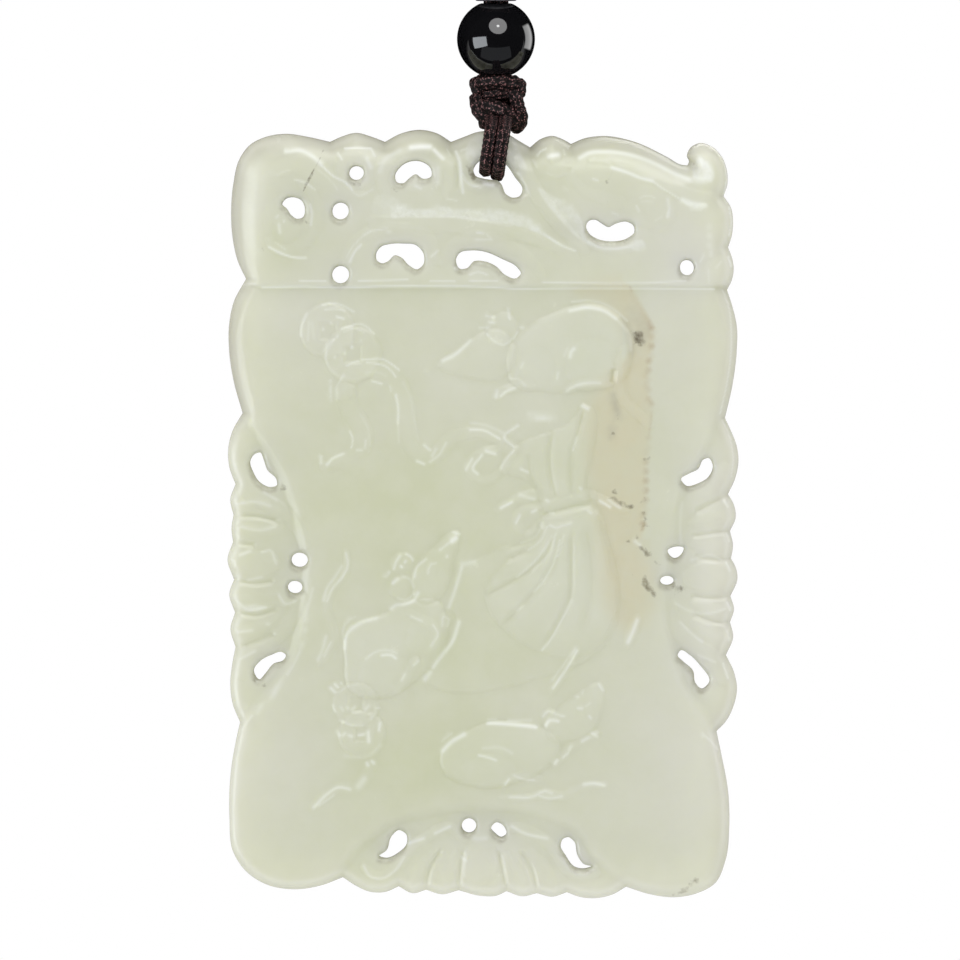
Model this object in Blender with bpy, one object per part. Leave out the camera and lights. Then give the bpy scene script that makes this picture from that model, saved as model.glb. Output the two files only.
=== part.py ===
"""Carved jade pendant on its braided cord, lying on its back.

The plaque's flat back is on z = 0, its carved face looks up and its top edge is towards +Y.
The origin is under the middle of the plaque.

The free forms of the carving are drawn on a sheet: x runs right and y runs down, in steps,
and the plaque covers SHEET_SPAN steps about SHEET_CENTRE. Every place on the sheet is thus a
share of the plaque's own width and length.
"""
import math

import bmesh
import bpy
import numpy as np
from mathutils.geometry import delaunay_2d_cdt

# Driving sizes of the plaque, in metres
PLAQUE_WIDTH = 0.0393
PLAQUE_LENGTH = 0.0591
PLAQUE_THICKNESS = 0.0070
RELIEF_HEIGHT = 0.00115     # from the field's ground to the top of the figures
PANEL_STEP = 0.00035        # the dragon panel stands above the field's ground
BAT_DEPTH = 0.00045         # the bats lie below the field's ground
GROOVE_DEPTH = 0.00030
FRONT_ROUND = 0.0010        # radius of the polished front edge
HOLE_ROUND = 0.00035
BACK_ROUND = 0.00045
SCOOP_DEPTH = 0.0020        # hollow in the back that takes the loop of cord

# Cord, knot and beads
CORD_DIAMETER = 0.0010
STRAND_SPACING = 0.00108    # between the middles of the two strands
KNOT_WIDTH = 0.0045
KNOT_LENGTH = 0.0037
KNOT_HEIGHT = 0.0043
LOOP_BEND = 0.0011          # radius of the loop's bends at the hole
BEAD_DIAMETER = 0.0060
BEAD_BORE = 0.0026
SPACER_DIAMETER = 0.0033
SPACER_LENGTH = 0.0018
SPACER_EDGE = 0.0006        # radius of its round outer edge
SPACER_LIP = 0.00015        # width of its lip around the hollow
CORD_LENGTH = 0.65          # the neck cord from the knot round and back to the knot
COIL_MIDDLE = 12            # diameter of the coil at its middle turns, in cord diameters
COIL_COLUMNS = 4            # turns side by side
COIL_REST = 0.0005          # the coil lies on its ties, this far above the ground
COIL_REACH = 0.0190         # from the spacer bead to the middle of the coil
CLEARANCE = 0.0003          # between pieces that touch

# The sheet that the carving is drawn on
SHEET_CENTRE = (483.0, 514.0)
SHEET_SPAN = (511.0, 768.0)
STRANDS_AT = 489.5          # the two strands stand either side of this line of the sheet
BEAD_AT = 496.0
KNOT_AT = 499.0
LOOP_INSIDE = 169.0         # how far down the sheet the loop passes through its hole
PANEL_FOOT = 283.0          # the panel's lower edge

# A neck strand from the spacer bead to the coil. Each row is a share of its run, of its
# reach sideways, of its fall to the ground and, for the right strand, of its climb again.
LEAD_ROUTE = [(0.10, 0.04, 0.06, 0.0), (0.24, 0.16, 0.48, 0.0), (0.40, 0.37, 0.88, 0.0),
              (0.58, 0.64, 0.99, 0.12), (0.77, 0.87, 1.0, 0.42), (1.0, 1.0, 1.0, 0.80)]
LEAD_RUN = 0.0124           # from the spacer bead to where a strand meets the coil's side

# Fineness of the solids, in metres
RIM_STEP = 0.00090
HOLE_STEP = 0.00056
FEATURE_STEP = 0.00080
GROUND_STEP = 0.00260
BACK_STEP = 0.0070
LINE_GAP = 0.00036          # between corners on the lines of the carving
LEAST_GAP = 0.00030         # between corners at the rim and the holes
LEAD_STEP = 0.0024
CORD_SIDES = 2              # bevel resolution of the cord's tubes

# The rim, clockwise from the left end of the panel. Each stretch is one lobe, notch to notch.
RIM = [
    [(246, 279), (238, 262), (232.5, 238), (231, 214), (233.5, 182), (239, 160), (250, 145),
     (266, 137), (286, 134), (308, 137), (330, 142)],
    [(330, 142), (341, 137), (356, 133), (372, 137), (385, 142)],
    [(385, 142), (400, 134), (421, 130), (437, 133.5), (451, 142)],
    [(451, 142), (464, 137), (478, 132), (492, 131), (507, 134), (519, 141), (530, 147.5)],
    [(530, 147.5), (541, 139), (552, 136), (563, 139.5), (571, 144)],
    [(571, 144), (584, 138.5), (603, 136), (632, 141), (667, 157), (682, 165), (687.5, 165.5)],
    [(687.5, 165.5), (689.3, 161), (687.3, 156), (689.5, 149), (700, 143.2), (712, 147),
     (721, 156), (727, 171), (727.5, 184), (723.5, 196.5)],
    [(723.5, 196.5), (731, 208), (733, 224), (731.5, 237), (728, 247.5)],
    [(728, 247.5), (732, 258), (733.7, 270), (731.5, 281), (727, 290)],
    [(727, 290), (732, 305), (737, 328), (736.8, 350), (732.5, 385), (725, 418)],
    [(725, 418), (731, 431), (736.5, 445), (738.5, 459), (735, 479), (728, 494)],
    [(728, 494), (734, 505), (735.8, 517), (730, 531)],
    [(730, 531), (733, 545), (731, 558.5)],
    [(731, 558.5), (736, 568), (737.5, 578), (730.5, 596)],
    [(730.5, 596), (734, 609), (730, 622)],
    [(730, 622), (733.2, 636), (726, 655)],
    [(726, 655), (734, 672), (737, 687), (733.5, 706), (726, 721), (716.5, 731)],
    [(716.5, 731), (722, 757), (728, 790), (729.3, 825), (725.5, 860), (715, 883), (697, 893),
     (675, 897), (650, 894), (626, 886.5)],
    [(626, 886.5), (613, 894), (594, 898), (579, 896.5), (567, 892)],
    [(567, 892), (552, 896.5), (537, 893)],
    [(537, 893), (522, 896), (506.5, 891)],
    [(506.5, 891), (497, 895.3), (480, 895.5), (458.6, 890)],
    [(458.6, 890), (442, 894), (426, 889.5)],
    [(426, 889.5), (413, 893), (398.7, 886)],
    [(398.7, 886), (386, 891.5), (370, 891.5), (356, 885.5), (343, 877)],
    [(343, 877), (320, 885.5), (293, 889), (266, 884), (245, 870), (233, 851), (229.5, 818),
     (230.5, 775), (235, 745), (240, 722)],
    [(240, 722), (232.5, 703), (230.3, 684), (232.5, 662), (235.5, 647)],
    [(235.5, 647), (230.5, 628), (235, 612.5)],
    [(235, 612.5), (229.3, 593), (234, 579.5)],
    [(234, 579.5), (227.5, 559), (233, 542)],
    [(233, 542), (231.5, 528), (233.5, 515)],
    [(233.5, 515), (230.3, 499), (235.5, 484)],
    [(235.5, 484), (229.5, 468), (228, 452), (232, 432), (242.5, 413)],
    [(242.5, 413), (234, 383), (229, 350), (229, 325), (234, 301), (246, 279)],
]

# The pierced holes, each a closed curve
HOLES = {
    "scroll_comma": [(282, 204), (286, 198.5), (292, 197), (301, 200), (305, 209), (303, 217.5),
                     (297, 219), (291, 215), (287, 209)],
    "cloud_kidney": [(395, 176), (400, 167), (411, 161), (423, 162), (430.5, 168), (431, 177),
                     (423, 179), (415.5, 174.5), (410, 178), (403, 183.5), (397, 182.5)],
    "cord_hole": [(473.4, 170), (476, 164.5), (481, 160.2), (489, 158.8), (498, 159.3),
                  (505, 163.5), (515, 177), (522.5, 189), (520, 196), (512, 197.8), (506, 194.5),
                  (501, 184), (497.5, 180.6), (490, 180), (483, 178.8), (475.5, 176)],
    "wave_kidney_left": [(376, 254), (381, 246.5), (390, 243.8), (403, 243.3), (416, 245),
                         (423, 252.5), (422.8, 265.5), (417, 269.5), (409, 265.5), (401, 257.5),
                         (395, 255.5), (388, 261.5), (382, 263.5), (377, 260.5)],
    "wave_kidney_right": [(456, 259), (460, 252.5), (470, 250.3), (484, 251.3), (502, 258.6),
                          (518, 268), (521, 273), (516, 278.5), (505, 275), (496, 266.5),
                          (484, 261.5), (474, 261.5), (467, 268.3), (460, 269)],
    "dragon_crescent": [(586, 227), (589, 220.8), (595.5, 219.6), (602, 223.4), (608.5, 226.8),
                        (616, 223.4), (627, 221.5), (634, 226), (634.5, 232), (627, 238.5),
                        (611, 241.5), (597, 239), (589, 233.5)],
    "left_bat_upper": [(250, 461), (254.5, 454), (260.5, 452.6), (263.5, 459), (267.5, 470),
                       (276.5, 479.5), (277, 485), (270, 487), (260, 482.5), (252.5, 471)],
    "left_bat_lower": [(286, 655), (282, 651.8), (272, 654.5), (260, 661), (253.5, 670.5),
                       (259, 679.5), (266, 672.5), (273, 664), (283.5, 659.8)],
    "right_bat_upper": [(681, 479), (689, 473.6), (698, 469), (703.5, 459.5), (709, 458),
                        (713, 464.5), (709, 476.5), (699, 483), (686, 485.5)],
    "right_bat_lower": [(677.5, 655), (680.5, 650.2), (690, 655), (700, 665), (709.5, 682),
                        (702, 688.6), (695.3, 682.5), (693, 670.5), (683, 661)],
    "right_bat_notch": [(667.5, 550.5), (674, 546.9), (684, 548), (681, 555), (675, 558),
                        (669.5, 555)],
    "foot_bat_left": [(379, 856), (386.5, 850), (391.5, 836), (399, 829.8), (406.5, 834.5),
                      (406.5, 844), (398, 853), (386, 858)],
    "foot_bat_tear": [(491, 828), (496.5, 822), (502, 824), (506, 834.5), (501.5, 837),
                      (495, 833)],
    "foot_bat_right": [(560.6, 845), (563, 838.6), (568, 836.8), (574, 841), (577.5, 855),
                       (583.5, 863.5), (592, 866.2), (584, 868.6), (575, 867), (566, 856)],
}

# The round holes: centre, half width and half height
ROUND_HOLES = {
    "scroll_round": ((340.5, 211), 8.3, 8.6),
    "cloud_round": ((356.5, 173), 7.4, 7.2),
    "panel_left_round": ((340.6, 274.6), 8.6, 8.8),
    "panel_right_round": ((687, 267.6), 7.2, 7.8),
    "left_bat_upper_round": ((299.6, 559.7), 8.3, 7.1),
    "left_bat_lower_round": ((295, 587), 7.4, 6.2),
    "right_bat_round": ((667, 580.3), 6.9, 4.5),
    "foot_bat_round": ((469, 825.3), 7.3, 7.3),
}

# Rounded masses of the figures: centre, half axes, turn in degrees, share of the relief
UPPER_RAT = [((588, 352), (44, 43), 0, 1.0), ((545, 360), (46, 32), 0, 0.86),
             ((484, 350), (40, 23), -24, 0.9), ((451, 360), (19, 10), -28, 0.72),
             ((503, 328), (16, 17), 0, 1.0), ((489, 322), (8, 8), 0, 0.8),
             ((592, 366), (28, 27), 0, 1.1)]
LEFT_RAT = [((390, 650), (50, 44), -30, 1.0), ((424, 622), (28, 33), 20, 0.85),
            ((428, 574), (36, 24), -52, 0.92), ((449, 548), (17, 10), -56, 0.75),
            ((403, 562), (10, 10), 0, 1.0), ((402, 588), (12, 12), 0, 1.05),
            ((385, 672), (23, 22), 0, 1.1)]
LOWER_RAT = [((500, 752), (58, 31), -6, 0.95), ((478, 774), (25, 20), 0, 0.9),
             ((548, 735), (28, 22), 0, 0.85), ((582, 705), (22, 24), 10, 0.9),
             ((549, 717), (9, 8), 0, 1.0)]
RIGHT_RAT = [((635, 580), (22, 38), 0, 0.6), ((630, 632), (14, 26), 15, 0.45)]
SACK = [((556, 588), (57, 72), 20, 0.85), ((552, 462), (38, 50), 35, 0.75),
        ((568, 512), (26, 16), -8, 0.8)]
HEAD_MASSES = [((356, 166), (24, 26), 0, 0.5), ((413, 172), (33, 34), 0, 0.45),
               ((486, 160), (34, 28), 0, 0.45), ((552, 158), (16, 16), 0, 0.6),
               ((598, 170), (13, 13), 0, 0.6), ((647, 207), (17, 17), 0, 0.6),
               ((719, 271), (14, 14), 0, 0.5), ((290, 222), (24, 26), 0, 0.45)]
BAT_MASSES = [((256, 564), (26, 17), 0, 0.75), ((708, 577), (27, 18), 0, 0.75),
              ((481, 862), (24, 22), 0, 0.75)]

# Coins: centre and radius
COINS = [((329, 330), 27), ((354, 354), 28), ((356, 706), 24), ((361, 733), 24)]
COIN_SHARE = 0.5            # of the relief
COIN_HOLE = 8.0             # half side of the square hole, on the sheet

# Ridges that run along a curve: points, half width, share of the relief
RIDGES = [
    # ribbon that strings the upper coins and ties the sack
    ([(326, 465), (346, 456), (362, 445), (360, 428), (347, 410), (341, 394), (344, 379),
      (356, 367), (375, 362), (392, 369), (403, 386), (407, 408), (409, 436), (416, 456),
      (429, 463), (441, 451), (455, 437), (474, 431), (494, 437), (514, 450)], 8.5, 0.6),
    ([(514, 452), (503, 470), (489, 482), (474, 477), (470, 466), (478, 453), (492, 451)], 5, 0.5),
    ([(498, 508), (514, 501), (536, 498)], 6, 0.6),
    ([(594, 497), (609, 503), (625, 511)], 6, 0.55),
    ([(540, 516), (533, 510), (520, 513), (515, 524), (524, 533), (536, 528)], 4.5, 0.6),
    ([(544, 512), (568, 506), (594, 497)], 6.5, 0.95),
    # tails and feet of the rats
    ([(619, 362), (619, 384), (626, 400), (640, 413), (650, 429)], 6.5, 0.55),
    ([(496, 397), (507, 390), (530, 386)], 6, 0.65),
    ([(566, 392), (576, 386), (606, 384)], 7, 0.75),
    ([(346, 551), (347, 566), (338, 580), (328, 594), (327, 607), (332, 622), (333, 640),
      (326, 655), (318, 666)], 5, 0.5),
    ([(412, 616), (427, 621), (438, 630), (444, 620)], 6, 1.0),
    ([(386, 692), (399, 685), (409, 672), (417, 662)], 7, 0.9),
    ([(330, 688), (337, 692), (348, 685)], 5, 0.5),
    ([(555, 763), (567, 751), (581, 741), (597, 735)], 6, 0.7),
    ([(504, 786), (513, 779), (536, 781)], 6, 0.6),
    ([(500, 798), (530, 797), (546, 792), (560, 796), (578, 787), (605, 784)], 5, 0.45),
    ([(553, 689), (562, 676), (571, 661), (577, 648)], 5, 0.5),
    ([(372, 761), (365, 779), (350, 789), (335, 788), (322, 798), (313, 808)], 6.5, 0.45),
    # panel: left scroll, cloud stems and wave
    ([(330, 168), (300, 153), (276, 147), (256, 158), (249, 184), (248, 215), (253, 245),
      (266, 262)], 10, 0.6),
    ([(296, 151), (321, 164), (346, 183), (366, 190), (388, 192)], 7, 0.65),
    ([(386, 190), (384, 164), (400, 150), (421, 147), (441, 154), (449, 172), (445, 192)], 8, 0.6),
    ([(461, 192), (457, 170), (466, 150), (486, 143), (508, 146), (524, 160)], 7, 0.6),
    ([(372, 214), (405, 207), (450, 205), (495, 207), (530, 220), (560, 240), (582, 251)], 8, 0.6),
    ([(348, 262), (356, 244), (374, 232), (401, 229), (428, 236), (436, 262)], 7, 0.5),
    ([(440, 262), (452, 245), (474, 239), (500, 244), (528, 260), (540, 276)], 7, 0.5),
    ([(523, 158), (536, 186), (556, 214), (580, 240), (606, 252), (634, 252), (652, 244)], 8, 0.55),
    # panel: dragon's back, curled end and mane
    ([(576, 158), (590, 152), (612, 152), (640, 159), (668, 173), (692, 181), (709, 177),
      (714, 163), (704, 153)], 9, 0.75),
    ([(611, 169), (633, 176), (655, 184), (677, 198), (708, 207)], 6, 0.6),
    ([(571, 172), (590, 190), (622, 200), (634, 220), (660, 228), (672, 206)], 6, 0.45),
    # wing arms of the bats
    ([(242, 470), (252, 492), (270, 500), (290, 512), (302, 535)], 7, 0.5),
    ([(244, 672), (252, 650), (270, 642), (290, 625), (298, 606)], 7, 0.5),
    ([(724, 470), (714, 490), (697, 497), (682, 512), (676, 535)], 7, 0.5),
    ([(722, 676), (712, 654), (694, 645), (676, 628), (668, 600)], 7, 0.5),
    ([(364, 866), (380, 878), (398, 862), (411, 843), (451, 826)], 6, 0.5),
    ([(594, 874), (574, 876), (560, 858), (547, 840), (512, 828)], 6, 0.5),
]

# Grooves: the line under the panel, the sack's pleats and the ribs of the bats' wings
GROOVE_HALF_WIDTH = 6.0
GROOVES = [
    [(252, 284), (722, 284)],
    [(546, 528), (538, 543), (521, 552)],
    [(555, 530), (547, 555), (517, 578), (486, 597)],
    [(563, 530), (556, 558), (534, 592), (500, 628)],
    [(572, 528), (571, 566), (566, 608), (541, 650)],
    [(590, 520), (603, 545), (614, 590)],
    [(573, 452), (577, 434), (584, 412)],
    [(552, 430), (548, 462), (556, 496)],
    [(233, 515), (252, 517), (280, 522)],
    [(233, 542), (250, 543), (280, 541)],
    [(234, 580), (252, 583), (276, 580)],
    [(235, 612), (252, 614), (282, 606)],
    [(235, 647), (252, 641), (276, 630)],
    [(728, 494), (712, 510), (690, 520)],
    [(730, 531), (712, 534), (688, 537)],
    [(731, 559), (716, 557), (692, 555)],
    [(730, 596), (712, 599), (690, 596)],
    [(730, 622), (714, 618), (690, 610)],
    [(426, 889), (430, 868), (440, 846)],
    [(459, 890), (460, 872), (466, 852)],
    [(506, 891), (504, 872), (498, 854)],
    [(537, 893), (532, 870), (522, 850)],
]

# The field where the ground stands above the bats, as one closed curve
FIELD_EDGE = [(255, 290), (238, 330), (243, 392), (262, 430), (286, 470), (303, 520), (311, 575),
              (306, 618), (293, 664), (268, 700), (246, 724), (238, 780), (240, 850), (270, 878),
              (330, 872), (352, 846), (388, 818), (430, 806), (486, 802), (540, 808), (580, 826),
              (608, 862), (640, 880), (700, 876), (720, 840), (718, 780), (706, 728), (684, 694),
              (664, 640), (660, 600), (668, 540), (676, 490), (700, 446), (716, 400), (727, 340),
              (712, 290)]
FIELD_SLOPE = 12.0          # width of the slope down to the bats, on the sheet
SCOOP_MIDDLE = (489.5, 148.0)
SCOOP_REACH = (36.0, 47.0)

JADE = (0.62, 0.66, 0.50)
BLACK_STONE = (0.008, 0.008, 0.009)
GREY_STONE = (0.22, 0.22, 0.24)
BRAID = (0.035, 0.016, 0.014)


def clear_scene():
    """Remove every object of the scene."""
    for thing in list(bpy.data.objects):
        bpy.data.objects.remove(thing, do_unlink=True)


def finish_material(name, colour, roughness, metallic=0.0):
    """A plain Principled material."""
    material = bpy.data.materials.new(name)
    material.use_nodes = True
    shader = material.node_tree.nodes["Principled BSDF"]
    shader.inputs["Base Color"].default_value = (*colour, 1.0)
    shader.inputs["Roughness"].default_value = roughness
    shader.inputs["Metallic"].default_value = metallic
    return material


def add_object(name, data, material):
    """Link a mesh or curve as one named piece with its own material."""
    thing = bpy.data.objects.new(name, data)
    data.materials.append(material)
    bpy.context.scene.collection.objects.link(thing)
    return thing


def on_plaque(points):
    """Metres in x and y of places on the sheet."""
    scale = np.array([PLAQUE_WIDTH / SHEET_SPAN[0], -PLAQUE_LENGTH / SHEET_SPAN[1]])
    return (np.asarray(points, float) - np.array(SHEET_CENTRE)) * scale


def on_sheet(points):
    """Places on the sheet of metres in x and y, the inverse of on_plaque."""
    scale = np.array([PLAQUE_WIDTH / SHEET_SPAN[0], -PLAQUE_LENGTH / SHEET_SPAN[1]])
    return np.asarray(points, float) / scale + np.array(SHEET_CENTRE)


def curve_through(points, step, closed=False):
    """Points about a step apart on the smooth curve through the given points.

    The direction at each point is the mean of its two chords, each weighed by the other's
    length, and a cubic joins every pair of points.
    """
    knots = np.asarray(points, float)
    if closed:
        padded = np.vstack([knots[-1], knots, knots[0], knots[1]])
    else:
        padded = np.vstack([2 * knots[0] - knots[1], knots, 2 * knots[-1] - knots[-2]])
    chords = np.diff(padded, axis=0)
    lengths = np.linalg.norm(chords, axis=1)
    unit = chords / lengths[:, None]
    weight = lengths[:-1] / (lengths[:-1] + lengths[1:])
    slopes = unit[:-1] * (1 - weight)[:, None] + unit[1:] * weight[:, None]
    inner = padded[1:-1]
    pieces = []
    for start, end, leave, arrive in zip(inner[:-1], inner[1:], slopes[:-1], slopes[1:]):
        length = np.linalg.norm(end - start)
        count = max(1, round(length / step))
        t = (np.arange(count) / count)[:, None]
        pieces.append(start * (2 * t**3 - 3 * t**2 + 1) + end * (3 * t**2 - 2 * t**3)
                      + leave * length * (t**3 - 2 * t**2 + t) + arrive * length * (t**3 - t**2))
    if not closed:
        pieces.append(inner[-1:])
    return np.vstack(pieces)


def rim_outline():
    """The rim in metres, fitted to the plaque's width and length."""
    step = RIM_STEP / PLAQUE_LENGTH * SHEET_SPAN[1]
    lobes = [curve_through(lobe, step)[:-1] for lobe in RIM]
    rim = on_plaque(np.vstack(lobes))
    low, high = rim.min(axis=0), rim.max(axis=0)
    return (rim - (low + high) / 2) * np.array([PLAQUE_WIDTH, PLAQUE_LENGTH]) / (high - low)


def hole_outlines():
    """Every pierced hole in metres: the free curves, then the round ones."""
    step = HOLE_STEP / PLAQUE_LENGTH * SHEET_SPAN[1]
    holes = [on_plaque(curve_through(points, step, closed=True)) for points in HOLES.values()]
    for (x, y), half_width, half_height in ROUND_HOLES.values():
        count = max(8, round(math.tau * half_width / step))
        turn = np.arange(count) * math.tau / count
        ring = np.column_stack([x + half_width * np.cos(turn), y + half_height * np.sin(turn)])
        holes.append(on_plaque(ring))
    return holes


def edges_of(loop):
    """Starts and ends of a closed loop's edges."""
    return loop, np.roll(loop, -1, axis=0)


def distance_to_path(points, starts, ends):
    """Distance from each point to the nearest of some straight edges."""
    nearest = np.full(len(points), np.inf)
    for start, end in zip(starts, ends):
        along = end - start
        share = np.clip((points - start) @ along / max(along @ along, 1e-18), 0, 1)
        gap = points - start - share[:, None] * along
        nearest = np.minimum(nearest, np.hypot(gap[:, 0], gap[:, 1]))
    return nearest


def inside_loop(points, loop):
    """Whether each point is inside a closed loop, by counting crossings."""
    inside = np.zeros(len(points), bool)
    for start, end in zip(*edges_of(loop)):
        spans = (start[1] > points[:, 1]) != (end[1] > points[:, 1])
        rise = end[1] - start[1] if end[1] != start[1] else 1.0
        crossing = start[0] + (points[:, 1] - start[1]) / rise * (end[0] - start[0])
        inside ^= spans & (points[:, 0] < crossing)
    return inside


def in_material(points, rim, holes):
    """Whether each point is inside the rim and outside every hole."""
    solid = inside_loop(points, rim)
    for hole in holes:
        solid &= ~inside_loop(points, hole)
    return solid


def mass(sheet, centre, half_axes, turn, share):
    """Rounded hill: the share times the root of one minus the squared reach in half axes."""
    angle = math.radians(turn)
    across, down = (sheet - np.array(centre)).T
    u = (across * math.cos(angle) + down * math.sin(angle)) / half_axes[0]
    v = (down * math.cos(angle) - across * math.sin(angle)) / half_axes[1]
    return share * np.sqrt(np.clip(1 - u * u - v * v, 0, None))


def ridge(sheet, points, half_width, share):
    """Round ridge along a curve: a half circle of the half width, as high as the share."""
    path = curve_through(points, 6.0)
    reach = distance_to_path(sheet, path[:-1], path[1:]) / half_width
    return share * np.sqrt(np.clip(1 - reach * reach, 0, None))


def coin(sheet, centre, radius):
    """Flat disc with a raised rim and a square hole that stands on its corner."""
    offset = sheet - np.array(centre)
    reach = np.hypot(offset[:, 0], offset[:, 1])
    face = np.where(reach < radius, 0.72, 0.0)
    face = np.where((reach > radius * 0.78) & (reach < radius), 1.0, face)
    square = np.abs(offset).sum(axis=1) < COIN_HOLE * math.sqrt(2)
    return COIN_SHARE * np.where(square, 0.1, face)


def figures_height(sheet):
    """The highest of the field's and panel's masses, coins and ridges, as shares."""
    height = np.zeros(len(sheet))
    for group in (UPPER_RAT, LEFT_RAT, LOWER_RAT, RIGHT_RAT, SACK, HEAD_MASSES, BAT_MASSES):
        for centre, half_axes, turn, share in group:
            height = np.maximum(height, mass(sheet, centre, half_axes, turn, share))
    for centre, radius in COINS:
        height = np.maximum(height, coin(sheet, centre, radius))
    for points, half_width, share in RIDGES:
        height = np.maximum(height, ridge(sheet, points, half_width, share))
    return height


def grooves_depth(sheet):
    """Depth of the cut lines, as a share of the groove depth."""
    depth = np.zeros(len(sheet))
    for points in GROOVES:
        depth = np.maximum(depth, ridge(sheet, points, GROOVE_HALF_WIDTH, 1.0))
    return depth


def ground_height(sheet):
    """The ground above the bats' level: a step at the field's edge, more under the panel."""
    edge = curve_through(FIELD_EDGE, 8.0, closed=True)
    reach = distance_to_path(sheet, *edges_of(edge))
    signed = np.where(inside_loop(sheet, edge), reach, -reach) / FIELD_SLOPE
    level = BAT_DEPTH * np.clip(0.5 + 0.5 * signed, 0, 1)
    panel = sheet[:, 1] < PANEL_FOOT
    return np.where(panel, BAT_DEPTH + PANEL_STEP, level)


def rounding(distance, radius):
    """How far a quarter-round edge lies below the flat at a distance from the boundary."""
    reach = np.clip(1 - distance / radius, 0, 1)
    return radius * (1 - np.sqrt(1 - reach * reach))


def front_height(points, rim, holes):
    """Height of the carved face over points of the plaque."""
    sheet = on_sheet(points)
    base = PLAQUE_THICKNESS - RELIEF_HEIGHT - BAT_DEPTH
    height = base + ground_height(sheet) + RELIEF_HEIGHT * figures_height(sheet)
    height = np.minimum(height - GROOVE_DEPTH * grooves_depth(sheet), PLAQUE_THICKNESS)
    rim_reach = distance_to_path(points, *edges_of(rim))
    hole_reach = np.min([distance_to_path(points, *edges_of(hole)) for hole in holes], axis=0)
    return height - rounding(rim_reach, FRONT_ROUND) - rounding(hole_reach, HOLE_ROUND)


def back_height(points, rim, holes):
    """Height of the back: flat, round at its edges, with the scoop behind the cord's hole."""
    reach = distance_to_path(points, *edges_of(rim))
    for hole in holes:
        reach = np.minimum(reach, distance_to_path(points, *edges_of(hole)))
    across, down = ((on_sheet(points) - np.array(SCOOP_MIDDLE)) / np.array(SCOOP_REACH)).T
    scoop = SCOOP_DEPTH * np.sqrt(np.clip(1 - across * across - down * down, 0, None))
    return np.maximum(rounding(reach, BACK_ROUND), scoop)


def feature_lines():
    """Lines that the triangles follow, on the sheet, each with the height it has by itself.

    They are the foot and the upper rings of every mass and coin, the crest and the feet of
    every ridge, and the bottom and the brinks of every groove.
    """
    lines = []
    for points, half_width, share in RIDGES:
        lines += zip(ridge_lines(points, half_width), (share, 0.0))
    for group in (UPPER_RAT, LEFT_RAT, LOWER_RAT, RIGHT_RAT, SACK, HEAD_MASSES, BAT_MASSES):
        for centre, half_axes, turn, share in group:
            reaches = (1.0, 0.82, 0.45) if min(half_axes) > 19 else (1.0, 0.6)
            for reach in reaches:
                ring = ellipse_ring(centre, half_axes, turn, reach)
                lines.append((ring, share * math.sqrt(1 - reach * reach)))
            lines.append((np.array([centre], float), share))
    for centre, radius in COINS:
        for reach in (1.02, 0.93, 0.72):
            lines.append((ellipse_ring(centre, (radius, radius), 0, reach), COIN_SHARE))
    for points in GROOVES:
        lines += [(line, None) for line in ridge_lines(points, GROOVE_HALF_WIDTH)]
    return lines


def ellipse_ring(centre, half_axes, turn, reach):
    """A closed ring at a share of the half axes, its first place repeated at its end."""
    angle = math.radians(turn)
    step = FEATURE_STEP / PLAQUE_LENGTH * SHEET_SPAN[1]
    count = max(6, round(math.tau * reach * sum(half_axes) / 2 / step))
    around = np.arange(count + 1) % count * math.tau / count
    u = half_axes[0] * reach * np.cos(around)
    v = half_axes[1] * reach * np.sin(around)
    return np.column_stack([centre[0] + u * math.cos(angle) - v * math.sin(angle),
                            centre[1] + u * math.sin(angle) + v * math.cos(angle)])


def ridge_lines(points, half_width):
    """A ridge's crest, and the line of its foot, which runs all round it."""
    step = FEATURE_STEP / PLAQUE_LENGTH * SHEET_SPAN[1]
    crest = curve_through(points, step)
    along = np.gradient(crest, axis=0)
    along *= half_width / np.linalg.norm(along, axis=1)[:, None]
    normal = np.column_stack([-along[:, 1], along[:, 0]])
    foot = [crest + normal, crest[-1:] + along[-1:], (crest - normal)[::-1],
            crest[:1] - along[:1], crest[:1] + normal[:1]]
    return [crest, np.vstack(foot)]


def inset_ring(loop, inset, inwards):
    """A loop moved by the inset along its normals, to the material's side."""
    along = np.roll(loop, -1, axis=0) - np.roll(loop, 1, axis=0)
    normal = np.column_stack([-along[:, 1], along[:, 0]])
    normal /= np.linalg.norm(normal, axis=1)[:, None]
    area = np.sum(loop[:, 0] * np.roll(loop[:, 1], -1) - loop[:, 1] * np.roll(loop[:, 0], -1))
    side = 1.0 if (area > 0) == inwards else -1.0
    return loop + side * inset * normal


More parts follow.
